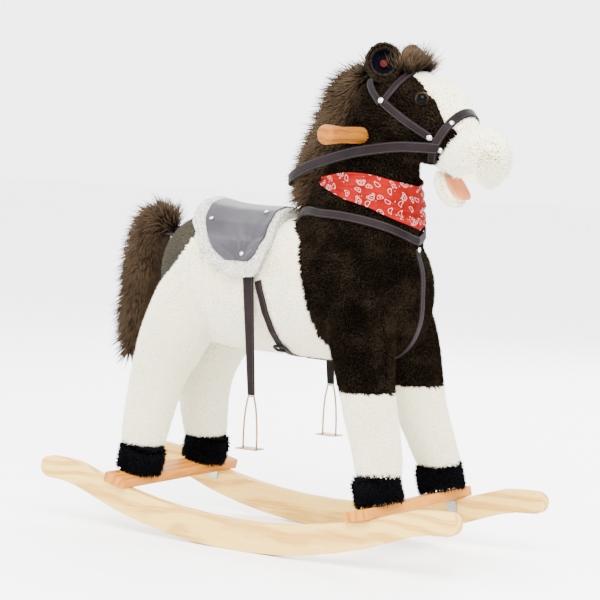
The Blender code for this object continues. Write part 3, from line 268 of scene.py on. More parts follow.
def smoothRows(rows, perSpan):  # soft curve through rows of numbers
    rows = np.array(rows, float)
    padded = np.vstack([rows[:1], rows, rows[-1:]])
    run = []
    for a, b, c, d in zip(padded, padded[1:], padded[2:], padded[3:]):
        for step in range(perSpan):
            t = step / perSpan
            run.append(0.5 * (2 * b + (c - a) * t + (2 * a - 5 * b + 4 * c - d) * t**2
                              + (3 * b - a - 3 * c + d) * t**3))
    run.append(rows[-1])
    return np.array(run)


def meshOf(name, points, faces):
    mesh = bpy.data.meshes.new(name)
    mesh.from_pydata([tuple(p) for p in points], [], [tuple(f) for f in faces])
    shape = bmesh.new()
    shape.from_mesh(mesh)
    bmesh.ops.recalc_face_normals(shape, faces=shape.faces[:])
    shape.to_mesh(mesh)
    shape.free()
    mesh.shade_smooth()
    return asObject(name, mesh)


def loft(name, rings, loop=False):  # closed skin over rings of points
    rings = np.array(rings, float)
    count, around = rings.shape[:2]
    points = list(rings.reshape(-1, 3))
    faces = []
    for k in range(count if loop else count - 1):
        low, high = k * around, (k + 1) % count * around
        faces += [(low + i, low + (i + 1) % around, high + (i + 1) % around, high + i) for i in range(around)]
    if not loop:
        for k in (0, count - 1):
            points.append(rings[k].mean(0))
            faces += [(k * around + i, k * around + (i + 1) % around, len(points) - 1) for i in range(around)]
    return meshOf(name, points, faces)


def ovals(centres, across, up, around):  # one oval ring for each centre
    turn = np.linspace(0, 2 * np.pi, around, endpoint=False)[None, :, None]
    return centres[:, None] + across[:, None] * np.cos(turn) + up[:, None] * np.sin(turn)


def sweptRings(rows, around, perSpan, margin=0.0):  # rows are x, z, half depth, half width
    x, z, deep, wide = smoothRows(rows, perSpan).T
    run = np.stack([np.gradient(x), np.zeros_like(x), np.gradient(z)], 1)
    run /= np.linalg.norm(run, axis=1)[:, None]
    across = np.stack([-run[:, 2], 0 * x, run[:, 0]], 1) * np.maximum(deep + margin, 0.002)[:, None]
    wide = np.stack([0 * x, np.maximum(wide + margin, 0.002), 0 * x], 1)
    return ovals(np.stack([x, 0 * x, z], 1), wide, across, around)


def joined(name, pieces):
    shape = bmesh.new()
    for piece in pieces:
        shape.from_mesh(piece.data)
    mesh = bpy.data.meshes.new(name)
    shape.to_mesh(mesh)
    shape.free()
    for piece in pieces:
        bpy.data.objects.remove(piece, do_unlink=True)
    return asObject(name, mesh)


def cadCopy(name, *names):  # welded copy of CAD nodes
    shape = bmesh.new()
    for node in names:
        shape.from_mesh(nodes[node].data)
    bmesh.ops.remove_doubles(shape, verts=shape.verts, dist=1e-5)
    mesh = bpy.data.meshes.new(name)
    shape.to_mesh(mesh)
    shape.free()
    return asObject(name, mesh)


def remeshed(piece, size, smooth=2):
    change = piece.modifiers.new("skin", "REMESH")
    change.mode = "VOXEL"
    change.voxel_size = size
    if smooth:
        soft = piece.modifiers.new("soft", "SMOOTH")
        soft.factor = 0.5
        soft.iterations = smooth
    piece = plain(piece)
    piece.data.shade_smooth()
    return piece


def pointsOf(mesh):
    values = np.empty(len(mesh.vertices) * 3, np.float32)
    mesh.vertices.foreach_get("co", values)
    return values.reshape(-1, 3).astype(float)


def normalsOf(mesh):
    values = np.empty(len(mesh.vertices) * 3, np.float32)
    mesh.vertex_normals.foreach_get("vector", values)
    return values.reshape(-1, 3).astype(float)


def movePoints(mesh, points):
    mesh.vertices.foreach_set("co", np.asarray(points, np.float32).ravel())
    mesh.update()


def store(mesh, name, values):
    values = np.asarray(values, np.float32)
    kind, field = ("FLOAT_VECTOR", "vector") if values.ndim == 2 else ("FLOAT", "value")
    made = mesh.attributes.get(name) or mesh.attributes.new(name, kind, "POINT")
    made.data.foreach_set(field, values.ravel())


def stored(mesh, name):
    item = mesh.attributes[name]
    wide = 3 if item.data_type == "FLOAT_VECTOR" else 1
    values = np.empty(len(mesh.vertices) * wide, np.float32)
    item.data.foreach_get("vector" if wide == 3 else "value", values)
    return values.reshape(-1, wide) if wide == 3 else values


def partOfMesh(piece, keep, name, attributes):  # the faces whose corners are all kept
    corners = np.array([list(face.vertices)[:4] for face in piece.data.polygons if len(face.vertices) == 4])
    corners = corners[keep[corners].all(1)]
    used, index = np.unique(corners, return_inverse=True)
    mesh = bpy.data.meshes.new(name)
    mesh.from_pydata(pointsOf(piece.data)[used].tolist(), [], index.reshape(-1, 4).tolist())
    for label in attributes:
        store(mesh, label, stored(piece.data, label)[used])
    return asObject(name, mesh)


def nearPath(points, path):  # distance from each point to a line through path
    best = np.full(len(points), 1e9)
    path = np.array(path, float)
    for a, b in zip(path, path[1:]):
        run = b - a
        share = np.clip((points - a) @ run / (run @ run), 0, 1)
        best = np.minimum(best, np.linalg.norm(points - a - share[:, None] * run, axis=1))
    return best


def surfaceOf(*names):  # skin of CAD nodes, for laying things on
    points, faces = [], []
    for name in names:
        mesh = nodes[name].data
        base = len(points)
        points += [v.co.copy() for v in mesh.vertices]
        faces += [[base + i for i in face.vertices] for face in mesh.polygons]
    return BVHTree.FromPolygons(points, faces)


def dropOnto(surface, start, inward):
    hit = surface.ray_cast(Vector(start), Vector(inward).normalized())[0]
    return hit if hit else Vector(start)


# plush


def tuftTree(name, segments):  # tapered tufts, bent along the lay of the pile
    graph = newGrowth(name, {"Density": "Float", "Length": "Float", "Width": "Float", "Lean": "Float",
                             "Ruffle": "Float",
                             "Bend": "Float", "Seed": "Int", "Finish": "Material"})
    given = graph.given
    scatter = graph.add("GeometryNodeDistributePointsOnFaces", {"distribute_method": "RANDOM"},
                        {"Mesh": given["Geometry"], "Density": given["Density"], "Seed": given["Seed"]})
    facing = Value(graph, scatter.socket.node.outputs["Normal"])
    lay = graph.add("GeometryNodeInputNamedAttribute", {"data_type": "FLOAT_VECTOR"}, {"Name": "lay"})
    stray = graph.add("FunctionNodeRandomValue", {"data_type": "FLOAT_VECTOR"},
                      {0: (-1, -1, -1), 1: (1, 1, 1), "Seed": given["Seed"]})
    toward = graph.vector("ADD", graph.vector("ADD", facing, graph.scaled(lay, given["Lean"])),
                          graph.scaled(stray, given["Ruffle"]))
    stand = graph.add("FunctionNodeAlignRotationToVector", {"axis": "Z"}, {"Vector": toward})
    turn = graph.add("FunctionNodeAlignRotationToVector", {"axis": "X", "pivot_axis": "Z"},
                     {"Rotation": stand, "Vector": lay})
    tuft = graph.add("GeometryNodeMeshCone", {"fill_type": "NGON"},
                     {"Vertices": 3, "Side Segments": segments, "Fill Segments": 1, "Radius Top": 0.0,
                      "Radius Bottom": 0.5, "Depth": 1.0})
    where = graph.add("GeometryNodeInputPosition")
    height = graph.add("ShaderNodeSeparateXYZ", None, {0: where}, "Z")
    bent = graph.add("ShaderNodeCombineXYZ", None, {"X": height * height * given["Bend"]})
    tuft = graph.add("GeometryNodeSetPosition", None, {"Geometry": tuft, "Offset": bent})
    tuft = graph.add("GeometryNodeStoreNamedAttribute", {"data_type": "FLOAT", "domain": "POINT"},
                     {"Geometry": tuft, "Name": "along", "Value": height})
    vary = graph.add("FunctionNodeRandomValue", {"data_type": "FLOAT"}, {2: 0.65, 3: 1.15, "Seed": given["Seed"]}, 1)
    local = graph.add("GeometryNodeInputNamedAttribute", {"data_type": "FLOAT"}, {"Name": "reach"})
    size = graph.add("ShaderNodeCombineXYZ", None,
                     {"X": given["Width"], "Y": given["Width"], "Z": given["Length"] * vary * local})
    spread = graph.add("GeometryNodeInstanceOnPoints", None,
                       {"Points": scatter, "Instance": tuft, "Rotation": turn, "Scale": size})
    return endGrowth(graph, spread, given["Finish"])


shortPile = tuftTree("shortPile", 1)
longHair = tuftTree("longHair", 3)


pileLimit = {"faces": 190000, "tuftFaces": 4, "hairShare": 28}  # a hair counts as 28 faces, more than it has


def pile(skin, keep, name, values, material, tree=shortPile):
    patch = partOfMesh(skin, keep, name, ("lay", "tone", "reach"))
    if not len(patch.data.polygons):
        print("no faces under", name)
    area = sum(face.area for face in patch.data.polygons)
    each = pileLimit["tuftFaces"] if tree == shortPile else pileLimit["hairShare"]
    most = pileLimit["faces"] / each / max(area, 1e-6)
    inputs = {"Density": min(values["density"], most), "Length": values["length"], "Width": values["width"],
              "Lean": values["lean"],
              "Ruffle": values["ruffle"], "Bend": values.get("bend", 0.0), "Seed": values["seed"], "Finish": material}
    made = grow(patch, tree, inputs, name)
    made.data.shade_smooth()
    print(name, round(area * 1e4), "cm2", len(made.data.polygons), "faces")
    return made


# materials


def plushMaterial(name, light, dark):
    # light and dark are root, tip and fleck colours of the pale and the brown pile; the pale pile's darker root colour
    # is painted shade deep in the pile
    shade = Shade(name, {"Roughness": 0.9, "Specular IOR Level": 0.0})
    where = shade.place()
    tip = shade.attribute("along")
    tone = shade.attribute("tone")
    patch = shade.noise(where, 26.0, 4.0, 0.6)
    strand = shade.noise(where, 420.0, 2.0, 0.7)
    brown = shade.mix(shade.span(tip * 0.75 + strand * 0.55, 0.30, 0.95), dark[0], dark[1])
    brown = shade.mix(shade.span(strand * 0.65 + patch * 0.45 + tip * 0.25, 0.62, 0.86), brown, dark[2])
    # the pale pile darkens towards its roots: painted shade between the tufts
    pale = shade.mix(shade.span(tip * 0.7 + strand * 0.7, 0.30, 0.85), light[0], light[1])
    pale = shade.mix(shade.span(patch, 0.42, 0.72) * 0.5, pale, light[2])
    color = shade.mix(shade.span(tone, 0.42, 0.58), pale, brown)
    relief = shade.bump(strand, 0.0012, 0.6)
    return shade.finish(Base_Color=color, Normal=relief)


coatPlush = plushMaterial(
    "coatPlush",
    # the first pale colour is the root, darkened as painted shade within the pile
    light=((0.80, 0.72, 0.50), (0.975, 0.945, 0.745), (0.95, 0.895, 0.66)),
    dark=((0.0011, 0.0008, 0.0006), (0.0036, 0.0026, 0.0018), (0.0190, 0.0132, 0.0080)),
)
hoofPlush = plushMaterial(
    "hoofPlush",
    light=((0.0008, 0.0008, 0.0010), (0.0020, 0.0021, 0.0026), (0.0050, 0.0052, 0.0062)),
    dark=((0.0008, 0.0008, 0.0010), (0.0020, 0.0021, 0.0026), (0.0050, 0.0052, 0.0062)),
)
earPlush = plushMaterial(
    "earPlush",
    light=((0.0012, 0.0012, 0.0026), (0.0020, 0.0022, 0.0050), (0.0040, 0.0046, 0.0100)),
    dark=((0.0030, 0.0022, 0.0015), (0.0110, 0.0078, 0.0050), (0.0340, 0.0240, 0.0150)),
)


def hairMaterial():
    shade = Shade("hair", {"Roughness": 0.6, "Specular IOR Level": 0.04})
    where = shade.place()
    tip = shade.attribute("along")
    patch = shade.noise(where, 30.0, 3.0, 0.6)
    strand = shade.noise(where, 260.0, 2.0, 0.6)
    color = shade.mix(shade.span(tip + strand * 0.4 - 0.2, 0.10, 0.62), (0.0016, 0.0011, 0.0007),
                      (0.0060, 0.0038, 0.0022))
    color = shade.mix(shade.span(tip * 0.85 + patch * 0.5 + strand * 0.25, 0.66, 1.15), color,
                      (0.0560, 0.0360, 0.0200))
    return shade.finish(Base_Color=color)


def fleeceMaterial():
    shade = Shade("fleece", {"Roughness": 0.95, "Specular IOR Level": 0.05})
    where = shade.place()
    curl = shade.noise(where, 380.0, 4.0, 0.7)
    patch = shade.noise(where, 60.0, 3.0, 0.5)
    color = shade.mix(shade.span(curl, 0.35, 0.62), (0.20, 0.185, 0.145), (0.62, 0.61, 0.565))
    color = shade.mix(shade.span(patch, 0.45, 0.75) * 0.4, color, (0.50, 0.475, 0.40))
    return shade.finish(Base_Color=color, Normal=shade.bump(curl, 0.0022, 1.0))


def vinylMaterial(name, base, deep, rough, grain=520.0, shine=0.035):
    shade = Shade(name, {"IOR": 1.5, "Specular IOR Level": shine, "Coat Weight": 0.01, "Coat Roughness": 0.25})
    where = shade.place()
    cells = shade.add("ShaderNodeTexVoronoi", {"feature": "DISTANCE_TO_EDGE"}, {"Vector": where, "Scale": grain})
    cloud = shade.noise(where, 22.0, 4.0, 0.6)
    fine = shade.noise(where, 900.0, 2.0, 0.5)
    color = shade.mix(shade.span(cloud, 0.35, 0.70), deep, base)
    pebble = shade.span(cells, 0.0, 0.22)
    normal = shade.bump(pebble + fine * 0.3, 0.00035, 0.45)
    return shade.finish(Base_Color=color, Roughness=rough + cloud * 0.16, Normal=normal)


def woodMaterial(name, base, dark, pale, rough, scale=(1, 1, 1), turn=(0, 0, 0)):
    shade = Shade(name, {"Coat Weight": 0.01, "Coat Roughness": 0.25, "Specular IOR Level": 0.07})
    where = shade.place(scale, turn)
    warp = shade.noise(where, 5.0, 3.0, 0.5, "Color")
    bent = shade.vector("ADD", where, shade.scaled(shade.vector("SUBTRACT", warp, (0.5, 0.5, 0.5)), 0.035))
    stretched = shade.add("ShaderNodeMapping", None, {"Vector": bent, "Scale": (1.2, 26.0, 30.0)})
    rings = shade.add("ShaderNodeTexWave", {"wave_type": "RINGS", "rings_direction": "X"},
                      {"Vector": stretched, "Scale": 0.9, "Distortion": 3.0, "Detail": 2.0, "Detail Scale": 1.5})
    fibre = shade.noise(shade.add("ShaderNodeMapping", None, {"Vector": where, "Scale": (18.0, 700.0, 700.0)}), 1.0,
                        3.0, 0.6)
    pores = shade.noise(shade.add("ShaderNodeMapping", None, {"Vector": where, "Scale": (60.0, 1500.0, 1500.0)}), 1.0,
                        2.0, 0.5)
    spots = shade.add("ShaderNodeTexVoronoi", {"feature": "F1"},
                      {"Vector": shade.add("ShaderNodeMapping", None, {"Vector": bent, "Scale": (5.0, 17.0, 17.0)}),
                       "Scale": 1.0})
    color = shade.mix(shade.span(rings, 0.25, 0.95) * 0.85, base, dark)
    color = shade.mix(shade.span(fibre, 0.40, 0.70) * 0.45, color, pale)
    color = shade.mix(shade.span(pores, 0.60, 0.75) * 0.25, color, dark)
    knot = 1.0 - shade.span(spots, 0.03, 0.085)
    color = shade.mix(knot * 0.7, color, tuple(0.45 * c for c in dark))
    return shade.finish(Base_Color=color, Roughness=rough + fibre * 0.12,
                        Normal=shade.bump(fibre + pores * 0.5, 0.0003, 0.25))


def metalMaterial(name, base, dull, rough):
    shade = Shade(name, {"Metallic": 1.0})
    where = shade.place()
    smear = shade.noise(where, 55.0, 4.0, 0.65)
    scratch = shade.noise(shade.add("ShaderNodeMapping", None, {"Vector": where, "Scale": (1.0, 1.0, 14.0)}), 220.0,
                          2.0, 0.6)
    color = shade.mix(shade.span(smear, 0.35, 0.75) * 0.6, base, dull)
    return shade.finish(Base_Color=color, Roughness=rough + smear * 0.18, Normal=shade.bump(scratch, 0.0001, 0.2))


hair = hairMaterial()
fleece = fleeceMaterial()
saddleVinyl = vinylMaterial("saddleVinyl", (0.026, 0.023, 0.031), (0.014, 0.0115, 0.0155), 0.30, shine=0.22)
strapVinyl = vinylMaterial("strapVinyl", (0.0078, 0.0048, 0.0055), (0.0044, 0.0026, 0.0030), 0.38, 700.0)
hangerVinyl = vinylMaterial("hangerVinyl", (0.0075, 0.0038, 0.0036), (0.0042, 0.0022, 0.0021), 0.42, 700.0,
                            shine=0.05)
pine = woodMaterial("pine", (0.55, 0.345, 0.082), (0.37, 0.185, 0.030), (0.66, 0.46, 0.150), 0.42)
darkPine = woodMaterial("darkPine", (0.36, 0.130, 0.011), (0.22, 0.068, 0.005), (0.47, 0.200, 0.024), 0.42,
                        turn=(0, 0, math.pi / 2))
handleWood = woodMaterial("handleWood", (0.185, 0.066, 0.0085), (0.120, 0.036, 0.0040), (0.250, 0.100, 0.0170), 0.36,
                          turn=(0, 0, math.pi / 2))
frameWood = woodMaterial("frameWood", (0.42, 0.26, 0.11), (0.28, 0.155, 0.055), (0.52, 0.35, 0.17), 0.5)
brass = metalMaterial("brass", (0.26, 0.140, 0.036), (0.150, 0.075, 0.018), 0.24)
nickel = metalMaterial("nickel", (0.52, 0.52, 0.51), (0.34, 0.34, 0.33), 0.16)
zincSteel = metalMaterial("zincSteel", (0.34, 0.36, 0.38), (0.20, 0.21, 0.23), 0.28)
darkSteel = metalMaterial("darkSteel", (0.045, 0.040, 0.036), (0.020, 0.018, 0.016), 0.42)
print("materials ready")

# stuffed body

body = {
    "inset": 0.0030, "voxel": 0.0040, "seamDepth": 0.0030, "seamWidth": 0.0050,
    "torso": [(-0.2130, 0.3900, 0.0260, 0.0260), (-0.2030, 0.3900, 0.0560, 0.0540), (-0.1780, 0.3880, 0.0830, 0.0790),
              (-0.1350, 0.3840, 0.0970, 0.0940), (-0.0800, 0.3800, 0.0990, 0.0980), (-0.0200, 0.3780, 0.0985, 0.0970),
              (0.0400, 0.3780, 0.1000, 0.0960), (0.0950, 0.3800, 0.1030, 0.0950), (0.1450, 0.3810, 0.1010, 0.0890),
              (0.1860, 0.3790, 0.0880, 0.0760), (0.2100, 0.3780, 0.0630, 0.0540), (0.2210, 0.3780, 0.0300, 0.0260)],
    "neck": [(0.1080, 0.4200, 0.0980, 0.0800, 10.0), (0.1160, 0.4600, 0.0970, 0.0780, 11.0),
             (0.1250, 0.5000, 0.0880, 0.0700, 12.0),
             (0.1340, 0.5400, 0.0730, 0.0610, 12.0), (0.1430, 0.5800, 0.0620, 0.0550, 10.0),
             (0.1520, 0.6200, 0.0570, 0.0520, 6.0),
             (0.1600, 0.6500, 0.0500, 0.0480, 2.0)],
    "head": [(0.1200, 0.6560, 0.0260, 0.0240), (0.1310, 0.6540, 0.0460, 0.0420), (0.1540, 0.6480, 0.0600, 0.0540),
             (0.1850, 0.6380, 0.0630, 0.0590), (0.2120, 0.6290, 0.0610, 0.0600), (0.2400, 0.6180, 0.0560, 0.0550),
             (0.2620, 0.6050, 0.0450, 0.0450), (0.2820, 0.5930, 0.0350, 0.0370), (0.2960, 0.5840, 0.0230, 0.0260)],
    "headSlope": 30.0,
    "frontLeg": [(0.2130, 0.0815, 0.1290, 0.0325), (0.2040, 0.0740, 0.1600, 0.0350), (0.1920, 0.0690, 0.1950, 0.0375),
                 (0.1820, 0.0660, 0.2300, 0.0390), (0.1740, 0.0650, 0.2650, 0.0420), (0.1660, 0.0610, 0.3000, 0.0460),
                 (0.1560, 0.0540, 0.3400, 0.0480), (0.1460, 0.0460, 0.3800, 0.0400)],
    "rearLeg": [(-0.2130, 0.0780, 0.1290, 0.0325), (-0.2120, 0.0720, 0.1600, 0.0360),
                (-0.2080, 0.0650, 0.1950, 0.0390),
                (-0.2000, 0.0610, 0.2300, 0.0430), (-0.1850, 0.0580, 0.2650, 0.0500),
                (-0.1660, 0.0600, 0.3050, 0.0550),
                (-0.1500, 0.0560, 0.3500, 0.0540), (-0.1450, 0.0480, 0.3900, 0.0440)],
}
seams = {
    "haunch": [(-0.1204, 0.0649, 0.4533), (-0.1060, 0.0830, 0.4290), (-0.0953, 0.0935, 0.4066),
               (-0.0898, 0.0937, 0.3554),
               (-0.1014, 0.0740, 0.3184), (-0.0800, 0.0500, 0.2950), (-0.0555, 0.0325, 0.2861)],
    "shoulder": [(0.0145, 0.0500, 0.4740), (0.0580, 0.0800, 0.4510), (0.0790, 0.0930, 0.3960),
                 (0.0880, 0.0930, 0.3610),
                 (0.0980, 0.0760, 0.3170), (0.1200, 0.0640, 0.2900)],
    "chestFold": [(0.2080, 0.0200, 0.4700), (0.2150, 0.0260, 0.4200), (0.2060, 0.0330, 0.3600),
                  (0.1950, 0.0280, 0.3200)],
    "cheek": [(0.1560, 0.0520, 0.6700), (0.1657, 0.0560, 0.6373), (0.1680, 0.0504, 0.6121), (0.1797, 0.0440, 0.5942),
              (0.2050, 0.0300, 0.5750)],
}


def bodyLofts(inset):
    around, perSpan = 44, 5
    lofts = {}
    x, z, high, wide = smoothRows(body["torso"], perSpan).T
    zero = 0 * x
    centres = np.stack([x, zero, z], 1)
    lofts["torso"] = loft("torso", ovals(centres, np.stack([zero, wide - inset, zero], 1),
                                         np.stack([zero, zero, high - inset], 1), around))
    x, z, deep, wide, slope = smoothRows(body["neck"], perSpan).T
    zero, lean, deep = 0 * x, np.radians(slope), deep - inset
    along = np.stack([deep * np.cos(lean), zero, -deep * np.sin(lean)], 1)
    lofts["neck"] = loft("neck", ovals(np.stack([x, zero, z], 1), along, np.stack([zero, wide - inset, zero], 1),
                                       around))
    x, z, deep, wide = smoothRows(body["head"], perSpan).T
    zero, lean, deep = 0 * x, math.radians(body["headSlope"]), deep - inset
    up = np.stack([deep * math.sin(lean), zero, deep * math.cos(lean)], 1)
    lofts["head"] = loft("head", ovals(np.stack([x, zero, z], 1), np.stack([zero, wide - inset, zero], 1), up,
                                       around))
    for key in ("frontLeg", "rearLeg"):
        for name, side in sides.items():
            x, spread, z, radius = smoothRows(body[key], perSpan).T
            zero, radius = 0 * x, radius - inset
            centres = np.stack([x, side * spread, z], 1)
            lofts[key + name] = loft(key + name,
                                     ovals(centres, np.stack([radius, zero, zero], 1),
                                           np.stack([zero, radius, zero], 1), 36))
    return lofts


def swell(piece, held, cap, frames=16, pressure=4.0):  # inflates a skin between its held points
    group = piece.vertex_groups.new(name="held")
    for share in np.unique(np.round(held, 1)):
        chosen = np.nonzero(np.round(held, 1) == share)[0]
        group.add([int(i) for i in chosen], float(share), "REPLACE")
    before = pointsOf(piece.data)
    change = piece.modifiers.new("swell", "CLOTH")
    cloth = change.settings
    cloth.quality = 4
    cloth.use_pressure = True
    cloth.uniform_pressure_force = pressure
    cloth.effector_weights.gravity = 0
    cloth.vertex_group_mass = "held"
    cloth.tension_stiffness = 12
    cloth.compression_stiffness = 12
    cloth.bending_stiffness = 0.4
    change.point_cache.frame_start = 1
    change.point_cache.frame_end = frames
    for step in range(1, frames + 1):
        bpy.context.scene.frame_set(step)
    graph = bpy.context.evaluated_depsgraph_get()
    after = pointsOf(piece.evaluated_get(graph).data)
    piece.modifiers.remove(change)
    piece.vertex_groups.clear()
    bpy.context.scene.frame_set(1)
    moved = after - before
    reach = np.linalg.norm(moved, axis=1)[:, None]
    moved *= np.minimum(1.0, cap / np.maximum(reach, 1e-9))
    movePoints(piece.data, before + moved)
    return piece


def mirroredPaths(path):
    return [[(x, side * y, z) for x, y, z in path] for side in (1, -1)]


def makeBody():
    lofts = bodyLofts(body["inset"])
    tree = KDTree(sum(len(part.data.vertices) for part in lofts.values()))
    labels = []
    for label, part in lofts.items():
        for vertex in part.data.vertices:
            tree.insert(vertex.co, len(labels))
            labels.append(label)
    tree.balance()
    skin = remeshed(joined("bodySkin", list(lofts.values())), body["voxel"], 3)
    mesh = skin.data
    points, normals = pointsOf(mesh), normalsOf(mesh)
    seam = np.full(len(points), 1e9)
    for path in seams.values():
        for line in mirroredPaths(path):
            seam = np.minimum(seam, nearPath(points, line))
    held = np.clip(1.25 - seam / 0.010, 0, 1)
    held[points[:, 2] < 0.135] = 1.0
    swell(skin, held, 0.0030)
    points, normals = pointsOf(mesh), normalsOf(mesh)
    print("body swollen")
    label = np.array([labels[tree.find(p)[1]] for p in points])
    x, y, z = points.T
    push = -body["seamDepth"] * np.exp(-(seam / body["seamWidth"]) ** 2)
    for line in mirroredPaths([(s[0] + 0.92 * s[3], s[1] + 0.010, s[2]) for s in body["frontLeg"][2:]]):
        push += 0.0032 * np.exp(-(nearPath(points, line) / 0.0042) ** 2) * (z > 0.225)
    lean = math.radians(body["headSlope"])
    forward = (x - 0.24) * math.cos(lean) - (z - 0.64) * math.sin(lean)
    above = (x - 0.24) * math.sin(lean) + (z - 0.64) * math.cos(lean)
    blazeHalf = np.interp(x, [0.195, 0.206, 0.227, 0.2488, 0.2696, 0.2837, 0.289, 0.31],
                          [0.004, 0.016, 0.0255, 0.0345, 0.0360, 0.0310, 0.0280, 0.0250])
    inBlaze = (label == "head") & (above > -0.012) & (x > 0.198)
    blaze = np.clip((blazeHalf - np.abs(y)) / 0.004, -1, 1) * inBlaze
    push += 0.0045 * np.clip(blaze, 0, 1) * np.exp(-((forward + 0.004) / 0.032) ** 2)
    movePoints(mesh, points + normals * push[:, None])
    sideEdge = np.interp(z, [0.28, 0.317, 0.361, 0.396, 0.451, 0.477, 0.50],
                         [0.125, 0.098, 0.088, 0.079, 0.058, 0.0145, 0.000])
    brown = x > sideEdge
    rump = np.interp(z, [0.34, 0.36, 0.390, 0.4145, 0.458, 0.49], [-0.228, -0.196, -0.170, -0.144, -0.124, -0.112])
    brown |= (x < rump) & (z > 0.34)
    frontKnee = 0.2435 + (x - 0.185) * -0.05
    brown[np.char.startswith(label, "frontLeg") & (z < frontKnee)] = False
    brown[np.char.startswith(label, "rearLeg") & (z < 0.345)] = False
    tone = brown.astype(float)
    tone[(label == "head") & (blaze > 0)] = 0.0
    rumpTint = (x < -0.10) & (tone > 0.5)
    tone[rumpTint] = 0.561  # a little pale pile mixed in
    flow = np.zeros_like(points)
    flow[:] = (-0.55, 0, -0.80)
    flow[label == "neck"] = (-0.45, 0, -0.85)
    flow[label == "head"] = (-0.86, 0, 0.35)
    flow[(label == "head") & (tone < 0.5)] = (-0.80, 0, 0.55)
    legs = np.char.startswith(label, "frontLeg") | np.char.startswith(label, "rearLeg")
    flow[legs] = (0, 0, -1)
    store(mesh, "lay", flow - normals * (flow * normals).sum(1)[:, None])
    store(mesh, "tone", tone)
    store(mesh, "reach", np.where(rumpTint, 0.9, 1.0) * np.where(blaze > 0.3, 1.25, 1.0))
    mesh.materials.clear()
    mesh.materials.append(coatPlush)
    return skin, label, tone


skin, label, tone = makeBody()
print("body skin", len(skin.data.vertices))
coat = {"density": 400000, "length": 0.0064, "width": 0.0022, "lean": 0.85, "ruffle": 0.34, "seed": 3}
regions = {
    "barrelPileFront": (label == "torso") & (tone < 0.5) & (pointsOf(skin.data)[:, 0] > -0.06),
    "barrelPileRear": (label == "torso") & (tone < 0.5) & (pointsOf(skin.data)[:, 0] <= -0.06),
    "chestPile": (label == "torso") & (tone > 0.5),
    "neckPile": label == "neck",
    "headPile": label == "head",
    "legPileFrontRight": label == "frontLegright",
    "legPileFrontLeft": label == "frontLegleft",
    "legPileRearRight": label == "rearLegright",
    "legPileRearLeft": label == "rearLegleft",
}


def widened(mesh, keep):  # takes in the faces that the region only touches
    edges = np.array([edge.vertices[:] for edge in mesh.edges])
    touched = keep[edges].any(1)
    wide = keep.copy()
    wide[edges[touched].ravel()] = True
    return wide


for number, (name, keep) in enumerate(regions.items()):
    tufts = pile(skin, widened(skin.data, keep), name, {**coat, "seed": 3 + number}, coatPlush)
    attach(tufts, "horse")
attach(skin, "horse")
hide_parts("torso", "neck", "head", *(f"leg_{end}_{side}" for end in ("front", "rear") for side in sides))
print("body done")

# muzzle, jaw, ears and eyes


def furred(name, node, size, inset, flowOf, toneOf, values, material, keepOf=None, bodyName="horse",
           dimples=()):
    skin = remeshed(cadCopy(name, node), size, 3)
    mesh = skin.data
    points, normals = pointsOf(mesh), normalsOf(mesh)
    push = np.full(len(points), -inset)
    for centre, radius, depth in dimples:
        push -= depth * np.exp(-(np.linalg.norm(points - np.array(centre), axis=1) / radius) ** 2)
    movePoints(mesh, points + normals * push[:, None])
    points = pointsOf(mesh)
    flow = np.array(flowOf(points, normals), float) * np.ones_like(points)
    store(mesh, "lay", flow - normals * (flow * normals).sum(1)[:, None])
    tone = toneOf(points, normals) * np.ones(len(points))
    store(mesh, "tone", tone)
    store(mesh, "reach", np.ones(len(points)))
    mesh.materials.clear()
    mesh.materials.append(material)
    keep = keepOf(points, normals) if keepOf else np.ones(len(points), bool)
    tufts = pile(skin, keep, name.replace("Skin", "Pile"), values, material)
    for piece in (skin, tufts):
        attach(piece, bodyName)
    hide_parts(node)
    return skin


muzzle = {"centre": (0.3030, 0, 0.5770), "nostril": (0.3400, 0.0190, 0.5960)}
muzzlePile = {"density": 640000, "length": 0.0100, "width": 0.0023, "lean": 0.65, "ruffle": 0.42, "seed": 31}
muzzleCentre = np.array(muzzle["centre"])


def muzzleFlow(points, normals):
    return (points - muzzleCentre) * (0.4, 1, 1) * 12 + np.array((-0.9, 0, -0.25))


furred("muzzleSkin", "muzzle", 0.0028, 0.0052, muzzleFlow, lambda p, n: 0.0, muzzlePile, coatPlush,
       keepOf=lambda p, n: (n[:, 2] > -0.35) | (p[:, 0] > 0.325) | (np.abs(p[:, 1]) > 0.034),
       dimples=[((muzzle["nostril"][0], side * muzzle["nostril"][1], muzzle["nostril"][2]), 0.0080,
                 0.0070) for side in (1, -1)])
furred("jawSkin", "lower_jaw", 0.0020, 0.0022, lambda p, n: (-0.5, 0, -0.8), lambda p, n: 0.0,
       {"density": 700000, "length": 0.0058, "width": 0.0018, "lean": 0.6, "ruffle": 0.4, "seed": 33}, coatPlush,
       keepOf=lambda p, n: (p[:, 2] < 0.557) & (n @ np.array((0.830, 0, 0.558)) < 0.75), bodyName="lower_jaw")

ear = {"centre": (0.173, 0.041, 0.7075), "lean": (0.50, 0.80, 0.22), "mouth": 0.0195, "floor": -0.0100}
for name, side in sides.items():
    lean = np.array(ear["lean"]) * (1, side, 1)
    lean /= np.linalg.norm(lean)
    centre = np.array(ear["centre"]) * (1, side, 1)

    def cup(points, normals):
        high = (points - centre) @ lean
        out = np.linalg.norm(points - centre - high[:, None] * lean, axis=1)
        return ((out > ear["mouth"]) | (high < ear["floor"]) | (normals @ lean < -0.2)).astype(float)

    def clearOfButton(points):  # room for the press button to move
        high = (points - centre) @ lean
        out = np.linalg.norm(points - centre - high[:, None] * lean, axis=1)
        return (out < 0.0125) & (high < 0.006) & (high > -0.030)

    furred(f"earSkin.{name}", f"ear_{name}", 0.0016, 0.0012, lambda p, n: (-0.2, 0, 0.9), cup,
           {"density": 900000, "length": 0.0044, "width": 0.0016, "lean": 0.6, "ruffle": 0.4, "seed": 35 + side},
           earPlush,
           keepOf=lambda p, n: ~clearOfButton(p))


